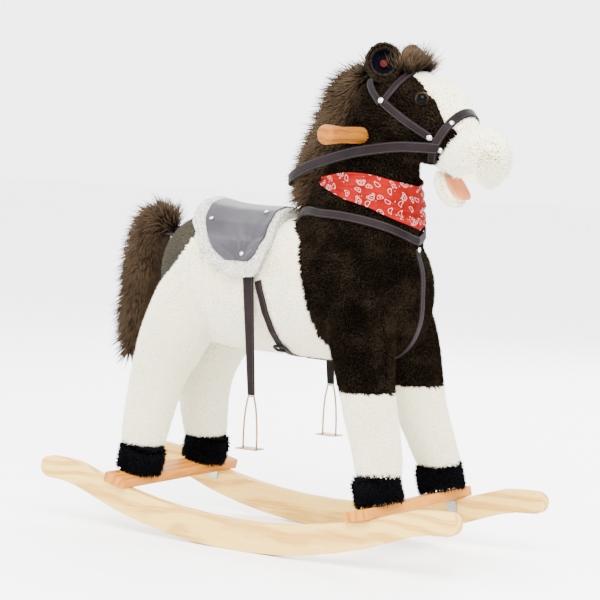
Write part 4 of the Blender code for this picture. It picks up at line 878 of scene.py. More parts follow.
def eyeMaterial():
    shade = Shade("eyeGlass", {"Roughness": 0.05, "Coat Weight": 0.02, "Coat Roughness": 0.02, "IOR": 1.52,
                               "Specular IOR Level": 0.02})
    out = shade.attribute("out")
    fleck = shade.noise(shade.place(), 900.0, 3.0, 0.6)
    color = shade.mix(shade.span(out, 0.68, 0.74), (0.0004, 0.0004, 0.0006), (0.0150, 0.0080, 0.0034))
    color = shade.mix(shade.span(fleck, 0.4, 0.7) * shade.span(out, 0.70, 0.76) * 0.5, color,
                      (0.0180, 0.0090, 0.0036))
    color = shade.mix(shade.span(out, 0.86, 0.93), color, (0.0020, 0.0014, 0.0010))
    return shade.finish(Base_Color=color)


eyeGlass = eyeMaterial()
for name, side in sides.items():
    low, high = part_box(f"eye_{name}")
    middle, radius = (low + high) / 2, 1.16 * (high.x - low.x) / 2
    shape = bmesh.new()
    bmesh.ops.create_uvsphere(shape, u_segments=40, v_segments=24, radius=radius)
    turn = Vector((0.50, side, 0.08)).to_track_quat("Z", "Y").to_matrix().to_4x4()
    bmesh.ops.transform(shape, matrix=Matrix.Translation(middle) @ turn, verts=shape.verts)
    mesh = bpy.data.meshes.new(f"eye.{name}")
    shape.to_mesh(mesh)
    shape.free()
    eye = asObject(f"eye.{name}", mesh)
    mesh.shade_smooth()
    facing = (pointsOf(mesh) - np.array(middle)) @ np.array((0.50, side, 0.08)) / (radius * math.hypot(0.50, 1, 0.08))
    store(mesh, "out", np.where(facing > 0, np.sqrt(np.clip(1 - facing**2, 0, 1)), 1.0))
    mesh.materials.append(eyeGlass)
    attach(eye, "horse")
    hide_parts(f"eye_{name}")
print("face done")

# lining of the mouth

lining = {"middle": (0.2765, 0, 0.5345), "out": (0.830, 0, 0.558), "across": 0.0240, "along": 0.0215, "thick": 0.0011,
          "lift": 0.0006}


def feltMaterial(name, base, deep):
    shade = Shade(name, {"Roughness": 0.95, "Specular IOR Level": 0.05})
    fuzz = shade.noise(shade.place(), 900.0, 4.0, 0.7)
    cloud = shade.noise(shade.place(), 70.0, 2.0, 0.5)
    color = shade.mix(shade.span(fuzz * 0.6 + cloud * 0.5, 0.4, 0.75), deep, base)
    return shade.finish(Base_Color=color, Normal=shade.bump(fuzz, 0.0004, 0.6))


felt = feltMaterial("felt", (0.50, 0.180, 0.080), (0.40, 0.125, 0.050))


def makeLining():
    frameTurn = Vector(lining["out"]).to_track_quat("Z", "Y").to_matrix().to_4x4()
    place = Matrix.Translation(lining["middle"]) @ frameTurn
    crosswise = frameTurn.to_3x3().inverted() @ Vector((0, 1, 0))
    wide, tall = (lining["across"], lining["along"]) if abs(crosswise.x) > 0.5 else (lining["along"],
                                                                                     lining["across"])
    rings = []
    for share, height in ((0.02, 0), (0.5, 0), (0.85, 0), (1.0, 0.3), (1.0, 0.7), (0.85, 1), (0.5, 1), (0.02, 1)):
        ring = []
        for k in range(40):
            a = 2 * math.pi * k / 40
            bend = (abs(math.cos(a)) ** 3 + abs(math.sin(a)) ** 3) ** (-1 / 3)
            x, y = share * bend * math.cos(a), share * bend * math.sin(a)
            dish = 0.0012 * (x * x + y * y) * (1 if share < 1 else 0.6)
            ring.append(place @ Vector((wide * x, tall * y, lining["lift"] + lining["thick"] * height + dish)))
        rings.append(ring)
    piece = loft("mouthLining", rings)
    piece.data.materials.append(felt)
    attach(piece, "lower_jaw")
    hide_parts("mouth_lining")


makeLining()

# hooves

hoofPile = {"density": 520000, "length": 0.0098, "width": 0.0025, "lean": 0.9, "ruffle": 0.55, "seed": 41}
for end in ("front", "rear"):
    for name, side in sides.items():
        low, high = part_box(f"hoof_{end}_{name}")
        middle = np.array((low + high) / 2)
        furred(f"hoofSkin.{end}.{name}", f"hoof_{end}_{name}", 0.0030, 0.0036, lambda p, n: (0, 0, -1), lambda p,
               n: 1.0, hoofPile, hoofPlush,
               keepOf=lambda p, n: (np.hypot(p[:, 0] - middle[0], p[:, 1] - middle[1]) > 0.0175) & (n[:, 2] > -0.75))
print("hooves done")

# mane, forelock and tail

mane = {"rows": [(0.1380, 0.6940, 0.0120, 0.0160), (0.1180, 0.6860, 0.0230, 0.0260), (0.0950, 0.6600, 0.0310, 0.0310),
                 (0.0800, 0.6230, 0.0320, 0.0320), (0.0620, 0.5850, 0.0330, 0.0320), (0.0440, 0.5450, 0.0300, 0.0300),
                 (0.0300, 0.5080, 0.0220, 0.0260)], "core": -0.0150, "flow": (-0.80, 0, -0.42)}
tail = {"rows": [(-0.2190, 0.4440, 0.0110, 0.0110), (-0.2300, 0.4560, 0.0190, 0.0200),
                 (-0.2460, 0.4640, 0.0250, 0.0270),
                 (-0.2660, 0.4480, 0.0290, 0.0300), (-0.2780, 0.4050, 0.0300, 0.0310),
                 (-0.2870, 0.3500, 0.0280, 0.0290),
                 (-0.2980, 0.2980, 0.0230, 0.0240), (-0.3080, 0.2560, 0.0120, 0.0120)], "core": -0.0150}
hairTufts = {"density": 400000, "length": 0.038, "width": 0.0024, "lean": 1.05, "ruffle": 0.52, "bend": 0.30}


def hairPiece(name, rows, core, flowOf, bodyName, node, seeds, values):
    skin = loft(name + "Core", sweptRings(rows, 36, 10, core))
    mesh = skin.data
    subdivided = skin.modifiers.new("quads", "REMESH")
    subdivided.mode = "VOXEL"
    subdivided.voxel_size = 0.003
    skin = plain(skin)
    mesh = skin.data
    mesh.shade_smooth()
    points, normals = pointsOf(mesh), normalsOf(mesh)
    flow = flowOf(points, normals)
    store(mesh, "lay", flow - normals * (flow * normals).sum(1)[:, None] * 0.7)
    store(mesh, "tone", np.ones(len(points)))
    clump = 0.85 + 0.3 * np.sin(points[:, 0] * 310 + points[:, 2] * 170) * np.sin(points[:, 1] * 260 + points[:,
                                                                                                              2] * 330)
    store(mesh, "reach", clump)
    mesh.materials.clear()
    mesh.materials.append(hair)
    for seed in seeds:
        tufts = pile(skin, np.ones(len(points), bool), f"{name}Hair{seed}", {**values, "seed": seed}, hair, longHair)
        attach(tufts, bodyName)
    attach(skin, bodyName)
    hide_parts(node)


def alongRows(rows):
    path = smoothRows(rows, 10)

    def flowOf(points, normals):
        nearest = np.linalg.norm(points[:, None, [0, 2]] - path[None, :, :2], axis=2).argmin(1)
        run = np.gradient(path[:, :2], axis=0)
        run /= np.linalg.norm(run, axis=1)[:, None]
        flow = np.zeros_like(points)
        flow[:, 0], flow[:, 2] = run[nearest].T
        return flow

    return flowOf


hairPiece("mane", mane["rows"], mane["core"], lambda p, n: np.array(mane["flow"]) * np.ones_like(p), "horse", "mane",
          (51, 52), hairTufts)
hairPiece("tail", tail["rows"], tail["core"], alongRows(tail["rows"]), "tail", "tail", (55, 56), hairTufts)

dock = {"rows": [(-0.1860, 0.4330, 0.0100, 0.0100), (-0.2000, 0.4400, 0.0105, 0.0105),
                 (-0.2150, 0.4440, 0.0095, 0.0095)]}


def makeDock():  # short plush sleeve over the tail's pin
    piece = remeshed(loft("tailDock", sweptRings(dock["rows"], 20, 6)), 0.0025, 2)
    mesh = piece.data
    points = pointsOf(mesh)
    store(mesh, "lay", np.array((-0.9, 0, 0.1)) * np.ones_like(points))
    store(mesh, "tone", np.full(len(points), 0.66))
    store(mesh, "reach", np.ones(len(points)))
    mesh.materials.append(coatPlush)
    tufts = pile(piece, points[:, 0] > -0.2140, "tailDockPile", {**coat, "density": 700000, "seed": 77}, coatPlush)
    for part in (piece, tufts):
        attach(part, "horse")


makeDock()


def makeForelock():
    points = pointsOf(skin.data)
    keep = (points[:, 0] > 0.172) & (points[:, 0] < 0.207) & (np.abs(points[:, 1]) < 0.026) & (points[:, 2] > 0.66)
    patch = partOfMesh(skin, keep, "forelockBase", ("lay", "tone", "reach"))
    lay = np.zeros((len(patch.data.vertices), 3))
    lay[:] = (0.70, 0, 0.75)
    lay[:, 1] = pointsOf(patch.data)[:, 1] * 30
    store(patch.data, "lay", lay)
    tufts = pile(patch, np.ones(len(lay), bool), "forelock",
                 {**hairTufts, "length": 0.040, "width": 0.0018, "lean": 0.80, "ruffle": 0.80, "density": 800000,
                  "seed": 58}, hair, longHair)
    bpy.data.objects.remove(patch, do_unlink=True)
    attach(tufts, "horse")


makeForelock()
print("hair done")

# saddle

torsoSurface = surfaceOf("torso")
saddle = {
    "fleece": [(0.0, -0.1460, -0.0060), (26.0, -0.1400, 0.0030), (42.0, -0.1270, 0.0090), (60.0, -0.0980, 0.0160),
               (71.0, -0.0720, 0.0150), (78.0, -0.0460, 0.0090), (81.5, -0.0300, 0.0010)],
    "cover": [(0.0, -0.1310, -0.0160), (28.0, -0.1210, -0.0050), (44.0, -0.1050, 0.0000), (57.0, -0.0830, 0.0045),
              (65.0, -0.0650, 0.0050), (71.0, -0.0440, -0.0030)],
    "centre": 0.380, "fleeceThickness": 0.0070, "coverThickness": 0.0034, "flapGap": 0.0130, "rise": 0.0130,
    "seatMiddle": -0.0740, "seatHalf": 0.0720, "curlDensity": 230000, "curl": 0.0021,
    "snaps": [(-0.0160, 66.0), (-0.0240, 20.0), (-0.1060, 34.0)],
}


def ease(value, low, high):
    share = min(max((value - low) / (high - low), 0.0), 1.0)
    return share * share * (3 - 2 * share)


def barrelPoint(x, degrees):
    angle = math.radians(degrees)
    out = Vector((0, math.sin(angle), math.cos(angle)))
    return dropOnto(torsoSurface, Vector((x, 0, saddle["centre"])) + out * 0.4, -out), out


def fleeceLow(degrees, x):
    return 0.0012 + (saddle["flapGap"] - 0.0012) * ease(abs(degrees), 45, 66)


def fleeceHigh(degrees, x):
    share = (x - saddle["seatMiddle"]) / saddle["seatHalf"]
    dish = 0.40 + (0.60 if share < 0 else 0.20) * share**2
    return fleeceLow(degrees, x) + saddle["fleeceThickness"] + saddle["rise"] * dish * (1 - ease(abs(degrees), 12,
                                                                                                 48))


def coverFold(degrees, x):  # creases that run from the flap's snap up towards the seat
    angle = math.atan2(abs(degrees) - 74, (x + 0.012) * 620)
    far = math.hypot(abs(degrees) - 74, (x + 0.012) * 620)
    wave = math.sin(angle * 9.0 + 0.6) + 0.5 * math.sin(angle * 21.0 + 1.1)
    return 0.0011 * wave * ease(abs(degrees), 8, 26) * (1 - ease(far, 26, 62)) * ease(far, 2, 9)


def drapedShell(name, outline, lowOf, highOf, across, perSpan, material, edge):
    half = smoothRows(outline, perSpan)
    rows = [(-a, rear, front) for a, rear, front in half[::-1]] + list(half[1:])
    lower, upper = [], []
    for degrees, rear, front in rows:
        spots = [barrelPoint(rear + (front - rear) * k / (across - 1), degrees) for k in range(across)]
        xs = [rear + (front - rear) * k / (across - 1) for k in range(across)]
        lower.append([spot + out * lowOf(degrees, x) for (spot, out), x in zip(spots, xs)])
        upper.append([spot + out * highOf(degrees, x) for (spot, out), x in zip(spots, xs)])
    rings = [low + high[::-1] for low, high in zip(lower, upper)]
    piece = loft(name, rings)
    change = piece.modifiers.new("edge", "BEVEL")
    change.width = edge
    change.segments = 3
    change.limit_method = "ANGLE"
    change.angle_limit = math.radians(40)
    piece = plain(piece)
    piece.data.materials.append(material)
    piece.data.shade_smooth()
    return piece


def curlTree():  # small woolly curls on a surface
    graph = newGrowth("curls", {"Density": "Float", "Size": "Float", "Seed": "Int", "Finish": "Material"})
    given = graph.given
    scatter = graph.add("GeometryNodeDistributePointsOnFaces", {"distribute_method": "RANDOM"},
                        {"Mesh": given["Geometry"], "Density": given["Density"], "Seed": given["Seed"]})
    ball = graph.add("GeometryNodeMeshIcoSphere", None, {"Radius": 1.0, "Subdivisions": 1})
    spin = graph.add("FunctionNodeRandomValue", {"data_type": "FLOAT_VECTOR"},
                     {0: (0, 0, 0), 1: (6.2, 6.2, 6.2), "Seed": given["Seed"]})
    squeeze = graph.add("FunctionNodeRandomValue", {"data_type": "FLOAT_VECTOR"},
                        {0: (0.5, 0.6, 0.6), 1: (1.0, 1.1, 1.4), "Seed": given["Seed"]})
    spread = graph.add("GeometryNodeInstanceOnPoints", None,
                       {"Points": scatter, "Instance": ball, "Rotation": spin,
                        "Scale": graph.scaled(squeeze, given["Size"])})
    return endGrowth(graph, spread, given["Finish"])


def makeSaddle():
    pad = drapedShell("saddleFleece", saddle["fleece"], fleeceLow, fleeceHigh, 40, 8, fleece, 0.0022)
    mesh = pad.data
    points, normals = pointsOf(mesh), normalsOf(mesh)
    angles = np.degrees(np.arctan2(np.abs(points[:, 1]), points[:, 2] - saddle["centre"]))
    rows = smoothRows(saddle["cover"], 8)
    rear = np.interp(angles, rows[:, 0], rows[:, 1]) + 0.006
    front = np.interp(angles, rows[:, 0], rows[:, 2]) - 0.006
    hidden = (points[:, 0] > rear) & (points[:, 0] < front) & (angles < 66)
    inside = (normals * (points - np.array((0, 0, saddle["centre"])) * 1.0)).dot(np.array((0, 1, 1))) < -0.02
    lump = np.sin(points[:, 0] * 900) * np.sin(points[:, 1] * 840 + 1) * np.sin(points[:, 2] * 870 + 2)
    cantle = 0.0045 * np.exp(-((points[:, 0] + 0.137) / 0.010) ** 2) * (angles < 50) * ~inside
    movePoints(mesh, points + normals * (0.0007 * lump + cantle)[:, None])
    tree = curlTree()
    store(mesh, "lay", normals)
    store(mesh, "tone", np.zeros(len(points)))
    store(mesh, "reach", np.ones(len(points)))
    keep = ~hidden & ~inside
    corners = [face for face in mesh.polygons if all(keep[i] for i in face.vertices)]
    area = sum(face.area for face in corners)
    patch = partOfMesh(pad, keep, "curlBase", ("lay",))
    curls = grow(patch, tree, {"Density": min(saddle["curlDensity"], 9000 / area), "Size": saddle["curl"], "Seed": 61,
                               "Finish": fleece}, "saddleCurls")
    curls.data.shade_smooth()
    print("curls", len(curls.data.polygons))
    seat = drapedShell("saddleCover", saddle["cover"], lambda a, x: fleeceHigh(a, x) + 0.0010,
                       lambda a, x: fleeceHigh(a, x) + 0.0010 + saddle["coverThickness"] + coverFold(a, x), 46, 12,
                       saddleVinyl, 0.0013)
    for piece, slotName in ((pad, "fleece"), (curls, "fleece"), (seat, "vinyl")):
        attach(piece, "horse")
    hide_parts("saddle_fleece")
    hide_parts("saddle_cover")


makeSaddle()
print("saddle done")

# straps, stitches and snaps

strap = {"thickness": 0.0022, "crown": 0.0004, "stitchInset": 0.0017, "stitchLength": 0.0021, "stitchThick": 0.00042,
         "pitch": 0.0032}


def threadMaterial():
    shade = Shade("thread", {"Roughness": 0.7})
    color = shade.mix(shade.noise(shade.place(), 700.0), (0.0070, 0.0050, 0.0052), (0.0140, 0.0105, 0.0105))
    return shade.finish(Base_Color=color)


thread = threadMaterial()


def stitchTree():  # a row of stitches along an edge line
    graph = newGrowth("stitches", {"Pitch": "Float", "Length": "Float", "Thick": "Float", "Finish": "Material"})
    given = graph.given
    line = graph.add("GeometryNodeMeshToCurve", None, {"Mesh": given["Geometry"]})
    spots = graph.add("GeometryNodeCurveToPoints", {"mode": "LENGTH"}, {"Curve": line, "Length": given["Pitch"]})
    turn = Value(graph, spots.socket.node.outputs["Rotation"])
    bead = graph.add("GeometryNodeMeshUVSphere", None, {"Segments": 6, "Rings": 4, "Radius": 0.5})
    size = graph.add("ShaderNodeCombineXYZ", None,
                     {"X": given["Thick"] * 2, "Y": given["Thick"] * 2, "Z": given["Length"]})
    spread = graph.add("GeometryNodeInstanceOnPoints", None,
                       {"Points": spots, "Instance": bead, "Rotation": turn, "Scale": size})
    return endGrowth(graph, spread, given["Finish"])


def snapTree():  # domed snaps with a rim, each facing its own way
    graph = newGrowth("snaps", {"Radius": "Float", "Finish": "Material"})
    given = graph.given
    facing = graph.add("GeometryNodeInputNamedAttribute", {"data_type": "FLOAT_VECTOR"}, {"Name": "facing"})
    turn = graph.add("FunctionNodeAlignRotationToVector", {"axis": "Z"}, {"Vector": facing})
    dome = graph.add("GeometryNodeMeshUVSphere", None, {"Segments": 20, "Rings": 10, "Radius": 0.78})
    dome = graph.add("GeometryNodeTransform", None,
                     {"Geometry": dome, "Scale": (1, 1, 0.62), "Translation": (0, 0, 0.12)})
    rim = graph.add("GeometryNodeMeshCone", None,
                    {"Vertices": 20, "Radius Top": 0.86, "Radius Bottom": 1.0, "Depth": 0.26})
    both = graph.tree.nodes.new("GeometryNodeJoinGeometry")
    for part in (rim, dome):
        graph.tree.links.new(part.socket, both.inputs[0])
    points = graph.add("GeometryNodeMeshToPoints", None, {"Mesh": given["Geometry"]})
    spread = graph.add("GeometryNodeInstanceOnPoints", None,
                       {"Points": points, "Instance": Value(graph, both.outputs[0]), "Rotation": turn,
                        "Scale": given["Radius"]})
    return endGrowth(graph, spread, given["Finish"])


stitches, snaps = stitchTree(), snapTree()


def snapPiece(name, spots, radius, bodyName="horse"):  # spots are (place, outward way)
    mesh = bpy.data.meshes.new(name)
    mesh.from_pydata([tuple(place) for place, facing in spots], [], [])
    store(mesh, "facing", np.array([tuple(facing) for place, facing in spots]))
    made = grow(asObject(name, mesh), snaps, {"Radius": radius, "Finish": nickel}, name)
    made.data.shade_smooth()
    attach(made, bodyName)
    return made


def smoothRun(values, rounds):
    values = np.array(values, float)
    for _ in range(rounds):
        values[1:-1] = 0.25 * values[:-2] + 0.5 * values[1:-1] + 0.25 * values[2:]
    return values


def bandPiece(name, left, right, out, material, replaced=(), bodyName="horse",
              thickness=None, stitched=True, lift=0.0):
    left, right, out = np.array(left, float), np.array(right, float), np.array(out, float)
    out /= np.linalg.norm(out, axis=1)[:, None]
    thick = thickness or strap["thickness"]
    section = []
    for k in range(9):  # crowned top from left to right
        u = k / 8
        section.append((u, thick + strap["crown"] * math.sin(math.pi * u) - 0.0007 * (1 if k in (0, 8) else 0)))
    section += [(1.0, 0.0005), (0.96, 0.0), (0.04, 0.0), (0.0, 0.0005)]
    rings = []
    for a, b, n in zip(left, right, out):
        rings.append([a + (b - a) * u + n * (lift + h) for u, h in section])
    piece = loft(name, rings)
    piece.data.set_sharp_from_angle(angle=math.radians(50))
    piece.data.materials.append(material)
    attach(piece, bodyName)
    if replaced:
        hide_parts(*replaced)
    if not stitched:
        return piece
    wide = np.linalg.norm(right - left, axis=1)[:, None]
    points, edges = [], []
    inset = strap["stitchInset"] / wide
    for share in (inset, 1 - inset):
        row = left + (right - left) * share + out * (lift + thick + 0.00025)
        start = len(points)
        points += row.tolist()
        edges += [(start + i, start + i + 1) for i in range(len(row) - 1)]
    mesh = bpy.data.meshes.new(name + "Rows")
    mesh.from_pydata(points, edges, [])
    made = grow(asObject(name + "Rows", mesh), stitches,
                {"Pitch": strap["pitch"], "Length": strap["stitchLength"], "Thick": strap["stitchThick"],
                 "Finish": thread}, name + "Stitches")
    made.data.shade_smooth()
    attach(made, bodyName)
    return piece


def laidBand(name, surface, path, width, lift, material, replaced, stitched=True):
    # path holds (outside point, outward way) pairs
    middle = smoothRun([dropOnto(surface, start, -Vector(out)) for start, out in path], 2)
    lefts, rights, outs = [], [], []
    for index, (start, out) in enumerate(path):
        out = Vector(out).normalized()
        run = Vector(middle[min(index + 1, len(path) - 1)]) - Vector(middle[max(index - 1, 0)])
        side = run.cross(out).normalized() * (width / 2)
        lefts.append(dropOnto(surface, Vector(start) + side, -out))
        rights.append(dropOnto(surface, Vector(start) - side, -out))
        outs.append(out)
    return bandPiece(name, smoothRun(lefts, 3), smoothRun(rights, 3), smoothRun(outs, 1), material, replaced,
                     stitched=stitched, lift=lift)


bodySurface = surfaceOf("torso", "neck")
headSurface = surfaceOf("head")
girth = {"path": [(84.0, 0.0060), (100.0, 0.0140), (123.0, 0.0200), (150.0, 0.0210), (180.0, 0.0210)],
         "width": 0.0115, "lift": 0.0022}
collar = {"path": [(0.0160, 0.0300, 0.4870), (0.0490, 0.0500, 0.4890), (0.1100, 0.0710, 0.4905),
                   (0.1570, 0.0650, 0.4860),
                   (0.1930, 0.0430, 0.4740), (0.2100, 0.0170, 0.4610), (0.2150, 0.0, 0.4560)], "axis": 0.1150,
                   "width": 0.0125, "lift": 0.0034}
chest = {"front": [(0.4440, 1.0, 0.0), (0.4000, 1.0, 0.0), (0.3500, 1.0, -0.15), (0.3150, 0.8, -0.6),
                   (0.2950, 0.35, -1.0)],
         "belly": [0.1500, 0.1250, 0.1000, 0.0750, 0.0500, 0.0320], "width": 0.0120, "lift": 0.0030}


def girthPath():
    half = smoothRows(girth["path"], 14)
    rows = [tuple(row) for row in half] + [(360 - a, x) for a, x in half[-2::-1]]
    path = []
    for degrees, x in rows:
        out = Vector((0, math.sin(math.radians(degrees)), math.cos(math.radians(degrees))))
        path.append((Vector((x, 0, saddle["centre"])) + out * 0.4, out))
    return path


def collarPath():
    half = smoothRows(collar["path"], 12)
    rows = [(x, -y, z) for x, y, z in half] + [tuple(row) for row in half[-2::-1]]
    path = []
    for x, y, z in rows:
        front = Vector((x - collar["axis"], y, 0)).normalized()
        rear = Vector((-0.15, math.copysign(1.0, y), 0.9)).normalized()
        middle = (front * 0.6 + Vector((0, math.copysign(1.0, y), 0.35))).normalized()
        out = rear.lerp(middle, ease(x, 0.06, 0.10)).lerp(front, ease(x, 0.12, 0.16)).normalized()
        path.append((Vector((x, y, z)) + out * 0.2, out))
    return path


def chestPath():
    path = []
    for z, outX, outZ in smoothRows(chest["front"], 10):
        out = Vector((outX, 0, outZ)).normalized()
        path.append((Vector((0.16, 0, z)) + out * 0.3, out))
    for x in np.linspace(chest["belly"][0], chest["belly"][-1], 30):
        path.append((Vector((x, 0, 0.1)), Vector((0, 0, -1))))
    return path


laidBand("girthStrap", torsoSurface, girthPath(), girth["width"], girth["lift"], hangerVinyl, ["girth_strap"])
laidBand("breastCollar", bodySurface, collarPath(), collar["width"], collar["lift"], strapVinyl, ["breast_collar"])
laidBand("chestStrap", bodySurface, chestPath(), chest["width"], chest["lift"], strapVinyl, ["chest_strap"])
crupperPath = [(Vector((-0.1520 - 0.0376 * k / 24, 0, 0.7)), Vector((0, 0, 1))) for k in range(25)]
laidBand("crupperStrap", torsoSurface, crupperPath, 0.0140, 0.0022, strapVinyl, ["crupper_strap"])
print("body straps done")

headBands = {
    "noseCentre": (0.2680, 0.0, 0.5975), "noseLean": 30.0, "noseHalfOpen": 0.80, "noseWidth": 0.0120,
    "cheek": [(0.1830, 0.6530), (0.2573, 0.6047)], "cheekSpan": (0.0, 1.0), "cheekWidth": 0.0120,
    "brow": {"side": (0.1875, 0.6545), "top": (0.2080, 0.6900), "lift": 0.0022},
    "crown": {"side": (0.1785, 0.6535), "top": (0.1400, 0.6860), "lift": 0.0034},
    "overWidth": 0.0110, "centreDrop": 0.0550,
}


def nosePath():
    lean = math.radians(headBands["noseLean"])
    across, up = Vector((0, 1, 0)), Vector((math.sin(lean), 0, math.cos(lean)))
    path = []
    for angle in np.linspace(-headBands["noseHalfOpen"], math.pi + headBands["noseHalfOpen"], 64):
        out = across * math.cos(angle) + up * math.sin(angle)
        path.append((Vector(headBands["noseCentre"]) + out * 0.4, out))
    return path


def cheekPath(side):
    (x0, z0), (x1, z1) = headBands["cheek"]
    shares = np.linspace(*headBands["cheekSpan"], 14)
    return [(Vector((x0 + (x1 - x0) * t, side * 0.2, z0 + (z1 - z0) * t)), Vector((0, side, 0))) for t in shares]


def overPath(values):
    (sideX, sideZ), (topX, topZ) = values["side"], values["top"]
    path = []
    for degrees in np.linspace(-93, 93, 50):
        angle = math.radians(degrees)
        share = math.cos(angle)
        out = Vector((0, math.sin(angle), share))
        place = Vector((sideX + (topX - sideX) * share, 0, sideZ + (topZ - headBands["centreDrop"] - sideZ) * share))
        path.append((place + out * 0.3, out))
    return path


laidBand("noseband", headSurface, nosePath(), headBands["noseWidth"], 0.0046, strapVinyl, ["noseband"])
for side, word in ((-1, "right"), (1, "left")):
    laidBand("cheekStrap_" + word, headSurface, cheekPath(side), headBands["cheekWidth"], 0.0022, strapVinyl,
             ["cheek_strap_" + word])
laidBand("browband", headSurface, overPath(headBands["brow"]), headBands["overWidth"], headBands["brow"]["lift"],
         strapVinyl, ["browband"])
laidBand("crownStrap", headSurface, overPath(headBands["crown"]), headBands["overWidth"], headBands["crown"]["lift"],
         strapVinyl, ["crown_strap"])

reins = {
    "half": [(0.2700, -0.0462, 0.5890), (0.2450, -0.0590, 0.5900), (0.2200, -0.0660, 0.5900),
             (0.1900, -0.0680, 0.5870),
             (0.1450, -0.0680, 0.5800), (0.1000, -0.0640, 0.5690), (0.0600, -0.0570, 0.5570),
             (0.0250, -0.0440, 0.5430),
             (0.0050, -0.0250, 0.5350), (-0.0020, 0.0, 0.5325)],
    "width": 0.0150,
}


def makeReins():
    half = smoothRows(reins["half"], 10)
    rows = np.array([tuple(row) for row in half] + [(x, -y, z) for x, y, z in half[-2::-1]])
    runs = np.gradient(rows, axis=0)
    outs = np.cross(runs, (0.0, 0.0, 1.0))
    outs /= np.linalg.norm(outs, axis=1)[:, None]
    wide = np.cross(runs, outs)
    wide /= np.linalg.norm(wide, axis=1)[:, None]
    if outs[0][1] > 0:
        outs = -outs
    rows = rows - outs * strap["thickness"] / 2
    return bandPiece("reins", rows + wide * reins["width"] / 2, rows - wide * reins["width"] / 2, outs, strapVinyl,
                     ["reins"])


makeReins()

hanger = {"pivot": (-0.0080, 0.1033, 0.4000), "top": 0.0095, "bottomHalf": 0.00625, "bottom": -0.1760, "lean": 0.0120,
          "thickness": 0.0026}


def makeHanger(side, word):
    px, py, pz = hanger["pivot"]
    base = Vector((px, side * py, pz))
    lefts, rights, outs = [], [], []
    for degrees in np.linspace(85, 5, 8):  # rounded top
        a = math.radians(degrees)
        lefts.append(base + Vector((-hanger["top"] * math.cos(a), 0, hanger["top"] * math.sin(a))))
        rights.append(base + Vector((hanger["top"] * math.cos(a), 0, hanger["top"] * math.sin(a))))
    for share in np.linspace(0.0, 1.0, 40):
        halfWide = hanger["top"] + (hanger["bottomHalf"] - hanger["top"]) * share
        middle = base + Vector((hanger["lean"] * share, 0, hanger["bottom"] * share))
        lefts.append(middle - Vector((halfWide, 0, 0)))
        rights.append(middle + Vector((halfWide, 0, 0)))
    shift = Vector((0, -side * hanger["thickness"] / 2, 0))
    name = "stirrup_strap_" + word
    if side > 0:
        lefts, rights = rights, lefts
    lefts = [spot + shift for spot in lefts]
    rights = [spot + shift for spot in rights]
    outs = [Vector((0, side, 0))] * len(lefts)
    return bandPiece("hanger_" + word, lefts, rights, outs, hangerVinyl, [name], bodyName=name,
                     thickness=hanger["thickness"])


makeHanger(-1, "right")
makeHanger(1, "left")


def onHead(x, side, z):
    place = dropOnto(headSurface, Vector((x, side * 0.2, z)), Vector((0, -side, 0)))
    near = [dropOnto(headSurface, Vector((x + dx, side * 0.2, z + dz)), Vector((0, -side, 0))) for dx,
            dz in ((0.005, 0), (0, 0.005))]
    facing = ((near[0] - place).cross(near[1] - place)).normalized()
    if facing.y * side < 0:
        facing = -facing
    return place, facing


bridleSnaps = []
for side in (-1, 1):
    for x, z in ((0.1828, 0.6530), (0.2573, 0.6047), (0.2700, 0.5880)):
        place, facing = onHead(x, side, z)
        bridleSnaps.append((place + facing * 0.0050, facing))
    lean = math.radians(headBands["noseLean"])
    angle = math.pi * 0.5 - side * 0.84
    out = Vector((0, 1, 0)) * math.cos(angle) + Vector((math.sin(lean), 0, math.cos(lean))) * math.sin(angle)
    place = dropOnto(headSurface, Vector(headBands["noseCentre"]) + out * 0.4, -out)
    bridleSnaps.append((place + out * 0.0046, out))
snapPiece("bridleSnaps", bridleSnaps, 0.0046)

saddleSnaps = []
for x, degrees in saddle["snaps"]:
    for side in (-1, 1):
        place, out = barrelPoint(x, side * degrees)
        saddleSnaps.append((place + out * (fleeceHigh(degrees, x) + 0.0010 + saddle["coverThickness"] + 0.0002), out))
snapPiece("saddleSnaps", saddleSnaps, 0.0036)
place = dropOnto(bodySurface, Vector((0.5, 0, 0.4440)), Vector((-1, 0, 0)))
snapPiece("chestSnap", [(place + Vector((0.0056, 0, 0)), Vector((1, 0, 0)))], 0.0040)
print("bridle, reins and snaps done")

# girth buckle

buckle = {"degrees": 148.0, "x": 0.0210, "outer": (0.0115, 0.0085), "inner": (0.0080, 0.0052), "depth": 0.0030}


def makeBuckle():
    place, out = barrelPoint(buckle["x"], buckle["degrees"] + 64.0)
    place = place + out * 0.0048
    run = Vector((0, out.z, -out.y)).normalized()
    wide = Vector((1, 0, 0))
    rings = []
    for (w, l), h in ((buckle["outer"], 0.0), (buckle["outer"], buckle["depth"]), (buckle["inner"], buckle["depth"]),
                      (buckle["inner"], 0.0)):
        ring = []
        for k in range(24):
            a = 2 * math.pi * k / 24
            c, s = math.cos(a), math.sin(a)
            ring.append(place + wide * w * math.copysign(abs(c) ** 0.5, c) + run * l * math.copysign(abs(s) ** 0.5,
                                                                                                     s) + out * h)
        rings.append(ring)
    frame = loft("buckleFrame", rings, loop=True)
    turns = np.linspace(0, 2 * math.pi, 9)[:-1]
    bar = loft("buckleBar", [[place + wide * (0.0012 * math.cos(a)) + run * y + out * (0.0022 + 0.0010 * math.sin(a))
                              for a in turns]
                             for y in (-0.0056, 0.0056)])
    for piece in (frame, bar):
        piece.data.materials.append(blackPlastic)
        piece.data.shade_smooth()
        piece.data.set_sharp_from_angle(angle=math.radians(40))
        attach(piece, "horse")


